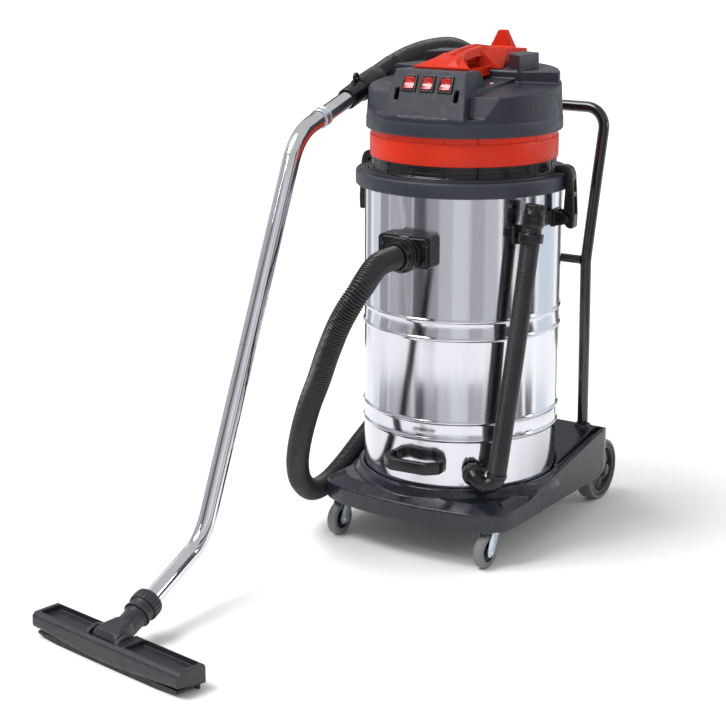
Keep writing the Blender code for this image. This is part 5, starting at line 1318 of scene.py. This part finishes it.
def tool_neck():
    """Fluted locking collar, and the swivel neck with its cross barrel."""
    low, knee = wand_point(*WAND_LOW), wand_point(*WAND_KNEE)
    axis = (knee - low).normalized()
    pivot, mouth = TOOL_PIVOT, wand_point(*COLLAR_MOUTH)
    collar = [(WAND_RADIUS + 0.0008, 0.0), (0.0285, 0.0), (0.03, -0.0014), (0.0312, -0.006),
            (0.0315, -0.01), (0.0315, -0.024), (0.0308, -0.0262), (0.0272, -0.0275), (0.0262, -0.03),
            (0.0258, -0.042), (0.0284, -0.043), (0.0292, -0.044), (0.0292, -0.047), (0.0282, -0.048),
            (WAND_RADIUS + 0.0008, -0.048)]

    def flutes(angle, r, z):
        return (r - 0.0018 * max(0.0, math.cos(22 * angle)) if r > 0.031 else r), z
    place(mesh_object("lock_collar", aimed(turned(collar, 176, loop=True, shape=flutes), mouth, axis)),
            TROLLEY, TOOL, "neck", "tool_collar", angle=35.0)
    top = mouth - axis * 0.049
    neck_path = smooth_route([top, top - axis * 0.018, pivot + Vector((0, 0.03, 0.0042)), pivot], 0.004)
    neck = mesh_object("swivel_neck", rod(neck_path, 0.0235, 48))
    saddle = []
    for y, half, low, high in ((-0.02, 0.03, -0.006, 0.008), (-0.012, 0.0345, -0.012, 0.02),
            (0.006, 0.0345, -0.012, 0.0265), (0.03, 0.027, -0.012, 0.031), (0.042, 0.02, -0.004, 0.03)):
        ring = rounded([(-half, low), (half, low), (half * 0.8, high), (-half * 0.8, high)], 0.006, 4, True)
        saddle.append([(pivot.x + x, pivot.y + y, pivot.z + z) for x, z in ring])
    join(neck, tool_turned(loft(saddle)))
    barrel = turned(mirrored([(0.019, 0.034), (0.0205, 0.0325)]), 48)
    join(neck, tool_turned(aimed(barrel, pivot, (1, 0, 0))))
    ring = turned([(0.0252, -0.0045), (0.0256, -0.0035), (0.0256, 0.0), (0.024, 0.0)], 48)
    join(neck, aimed(ring, top, axis))
    combine(neck, rod([top + axis * 0.01, top - axis * 0.016], 0.0175, 32))
    place(moulded(neck, SKIN_TOOL, 4), TROLLEY, TOOL, "neck", "tool_neck")


def floor_tool():
    """Wide body with a raised lip round its two trays, cheeks at the neck, and rubber strips."""
    half = TOOL_LENGTH / 2.0
    cx, cy = TOOL_PIVOT.x + 0.0135, TOOL_PIVOT.y
    pivot_x = TOOL_PIVOT.x
    back, front = cy + 0.036, cy - 0.036
    rings = []
    for share, foot in ((-1.0, 0.023), (-0.45, 0.015), (-0.15, 0.011), (0.15, 0.011), (0.45, 0.015),
            (1.0, 0.023)):
        side_view = rounded([(back, 0.0125), (back, 0.047), (back - 0.005, 0.0525), (front + 0.01, 0.0525),
                (front + 0.002, 0.046), (front, foot + 0.006), (front + 0.002, foot)], 0.003, 3, True)
        rings.append([(cx + share * half, y, z) for y, z in side_view])
    body = mesh_object("tool_shell", tool_turned(loft(rings)))
    for side in (-1, 1):
        near, far = sorted((side * 0.05, side * (half - 0.01)))
        tray = rounded([(cx + near, cy - 0.02), (cx + far, cy - 0.02), (cx + far, cy + 0.029),
                (cx + near, cy + 0.029)], 0.006, 4, True)
        combine(body, tool_turned(prism(tray, 0.0405, 0.07)))
        end = cx + side * half
        corner = [(end - side * 0.014, front - 0.01), (end + side * 0.01, front - 0.01),
                (end + side * 0.01, front + 0.012)]
        combine(body, tool_turned(prism(corner, 0.0, 0.1)))
        rear = [(end - side * 0.006, back + 0.01), (end + side * 0.01, back + 0.01),
                (end + side * 0.01, back - 0.008)]
        combine(body, tool_turned(prism(rear, 0.0, 0.1)))
        cheek = rounded([(cy - 0.034, 0.03), (cy - 0.025, 0.058), (cy + 0.002, 0.0655), (cy + 0.024, 0.054),
                (cy + 0.027, 0.03)], 0.008, 5, True)
        near, far = sorted((side * 0.0375, side * 0.048))
        join(body, tool_turned(prism(cheek, pivot_x + near, pivot_x + far, "x")))
    combine(body, tool_turned(block((pivot_x - 0.0375, cy - 0.024, 0.018),
            (pivot_x + 0.0375, cy + 0.05, 0.09))))
    join(body, tool_turned(block((pivot_x - 0.045, cy + 0.024, 0.0125), (pivot_x + 0.045, back, 0.018))))
    place(moulded(body, SKIN_TOOL, 3), TROLLEY, TOOL, "tool", "tool_body")

    low_x, high_x = cx - half + 0.01, cx + half - 0.01
    strips = mesh_object("squeegee_strips", tool_turned(block((low_x, back - 0.012, 0.0),
            (high_x, back - 0.006, 0.0137))))
    lip = [(low_x, 0.0137), (low_x, 0.008), (low_x + 0.06, 0.0), (high_x - 0.06, 0.0), (high_x, 0.008),
            (high_x, 0.0137)]
    join(strips, tool_turned(prism(lip, front + 0.008, front + 0.014, "y")))
    for side in (-1, 1):
        start, end = sorted((side * (half - 0.016), side * (half - 0.01)))
        join(strips, tool_turned(block((cx + start, front + 0.008, 0.008),
                (cx + end, back - 0.006, 0.0137))))
    place(bevelled(strips, 0.0008, 2), TROLLEY, SEAL, "tool", "tool_squeegee")


# ---------------------------------------------------------------- build

camera()
suction_hose()
studio()
drum()
collar()
filter_bag()
inlet()
grip()
drain()
latch("left", -LATCH_ANGLE)
latch("right", LATCH_ANGLE)
head_rings()
cover()
switches()
top_handle()
cable_gland()
inner_works()
trolley_base()
rear_wheels()
casters()
push_handle()
wand()
tool_neck()
floor_tool()
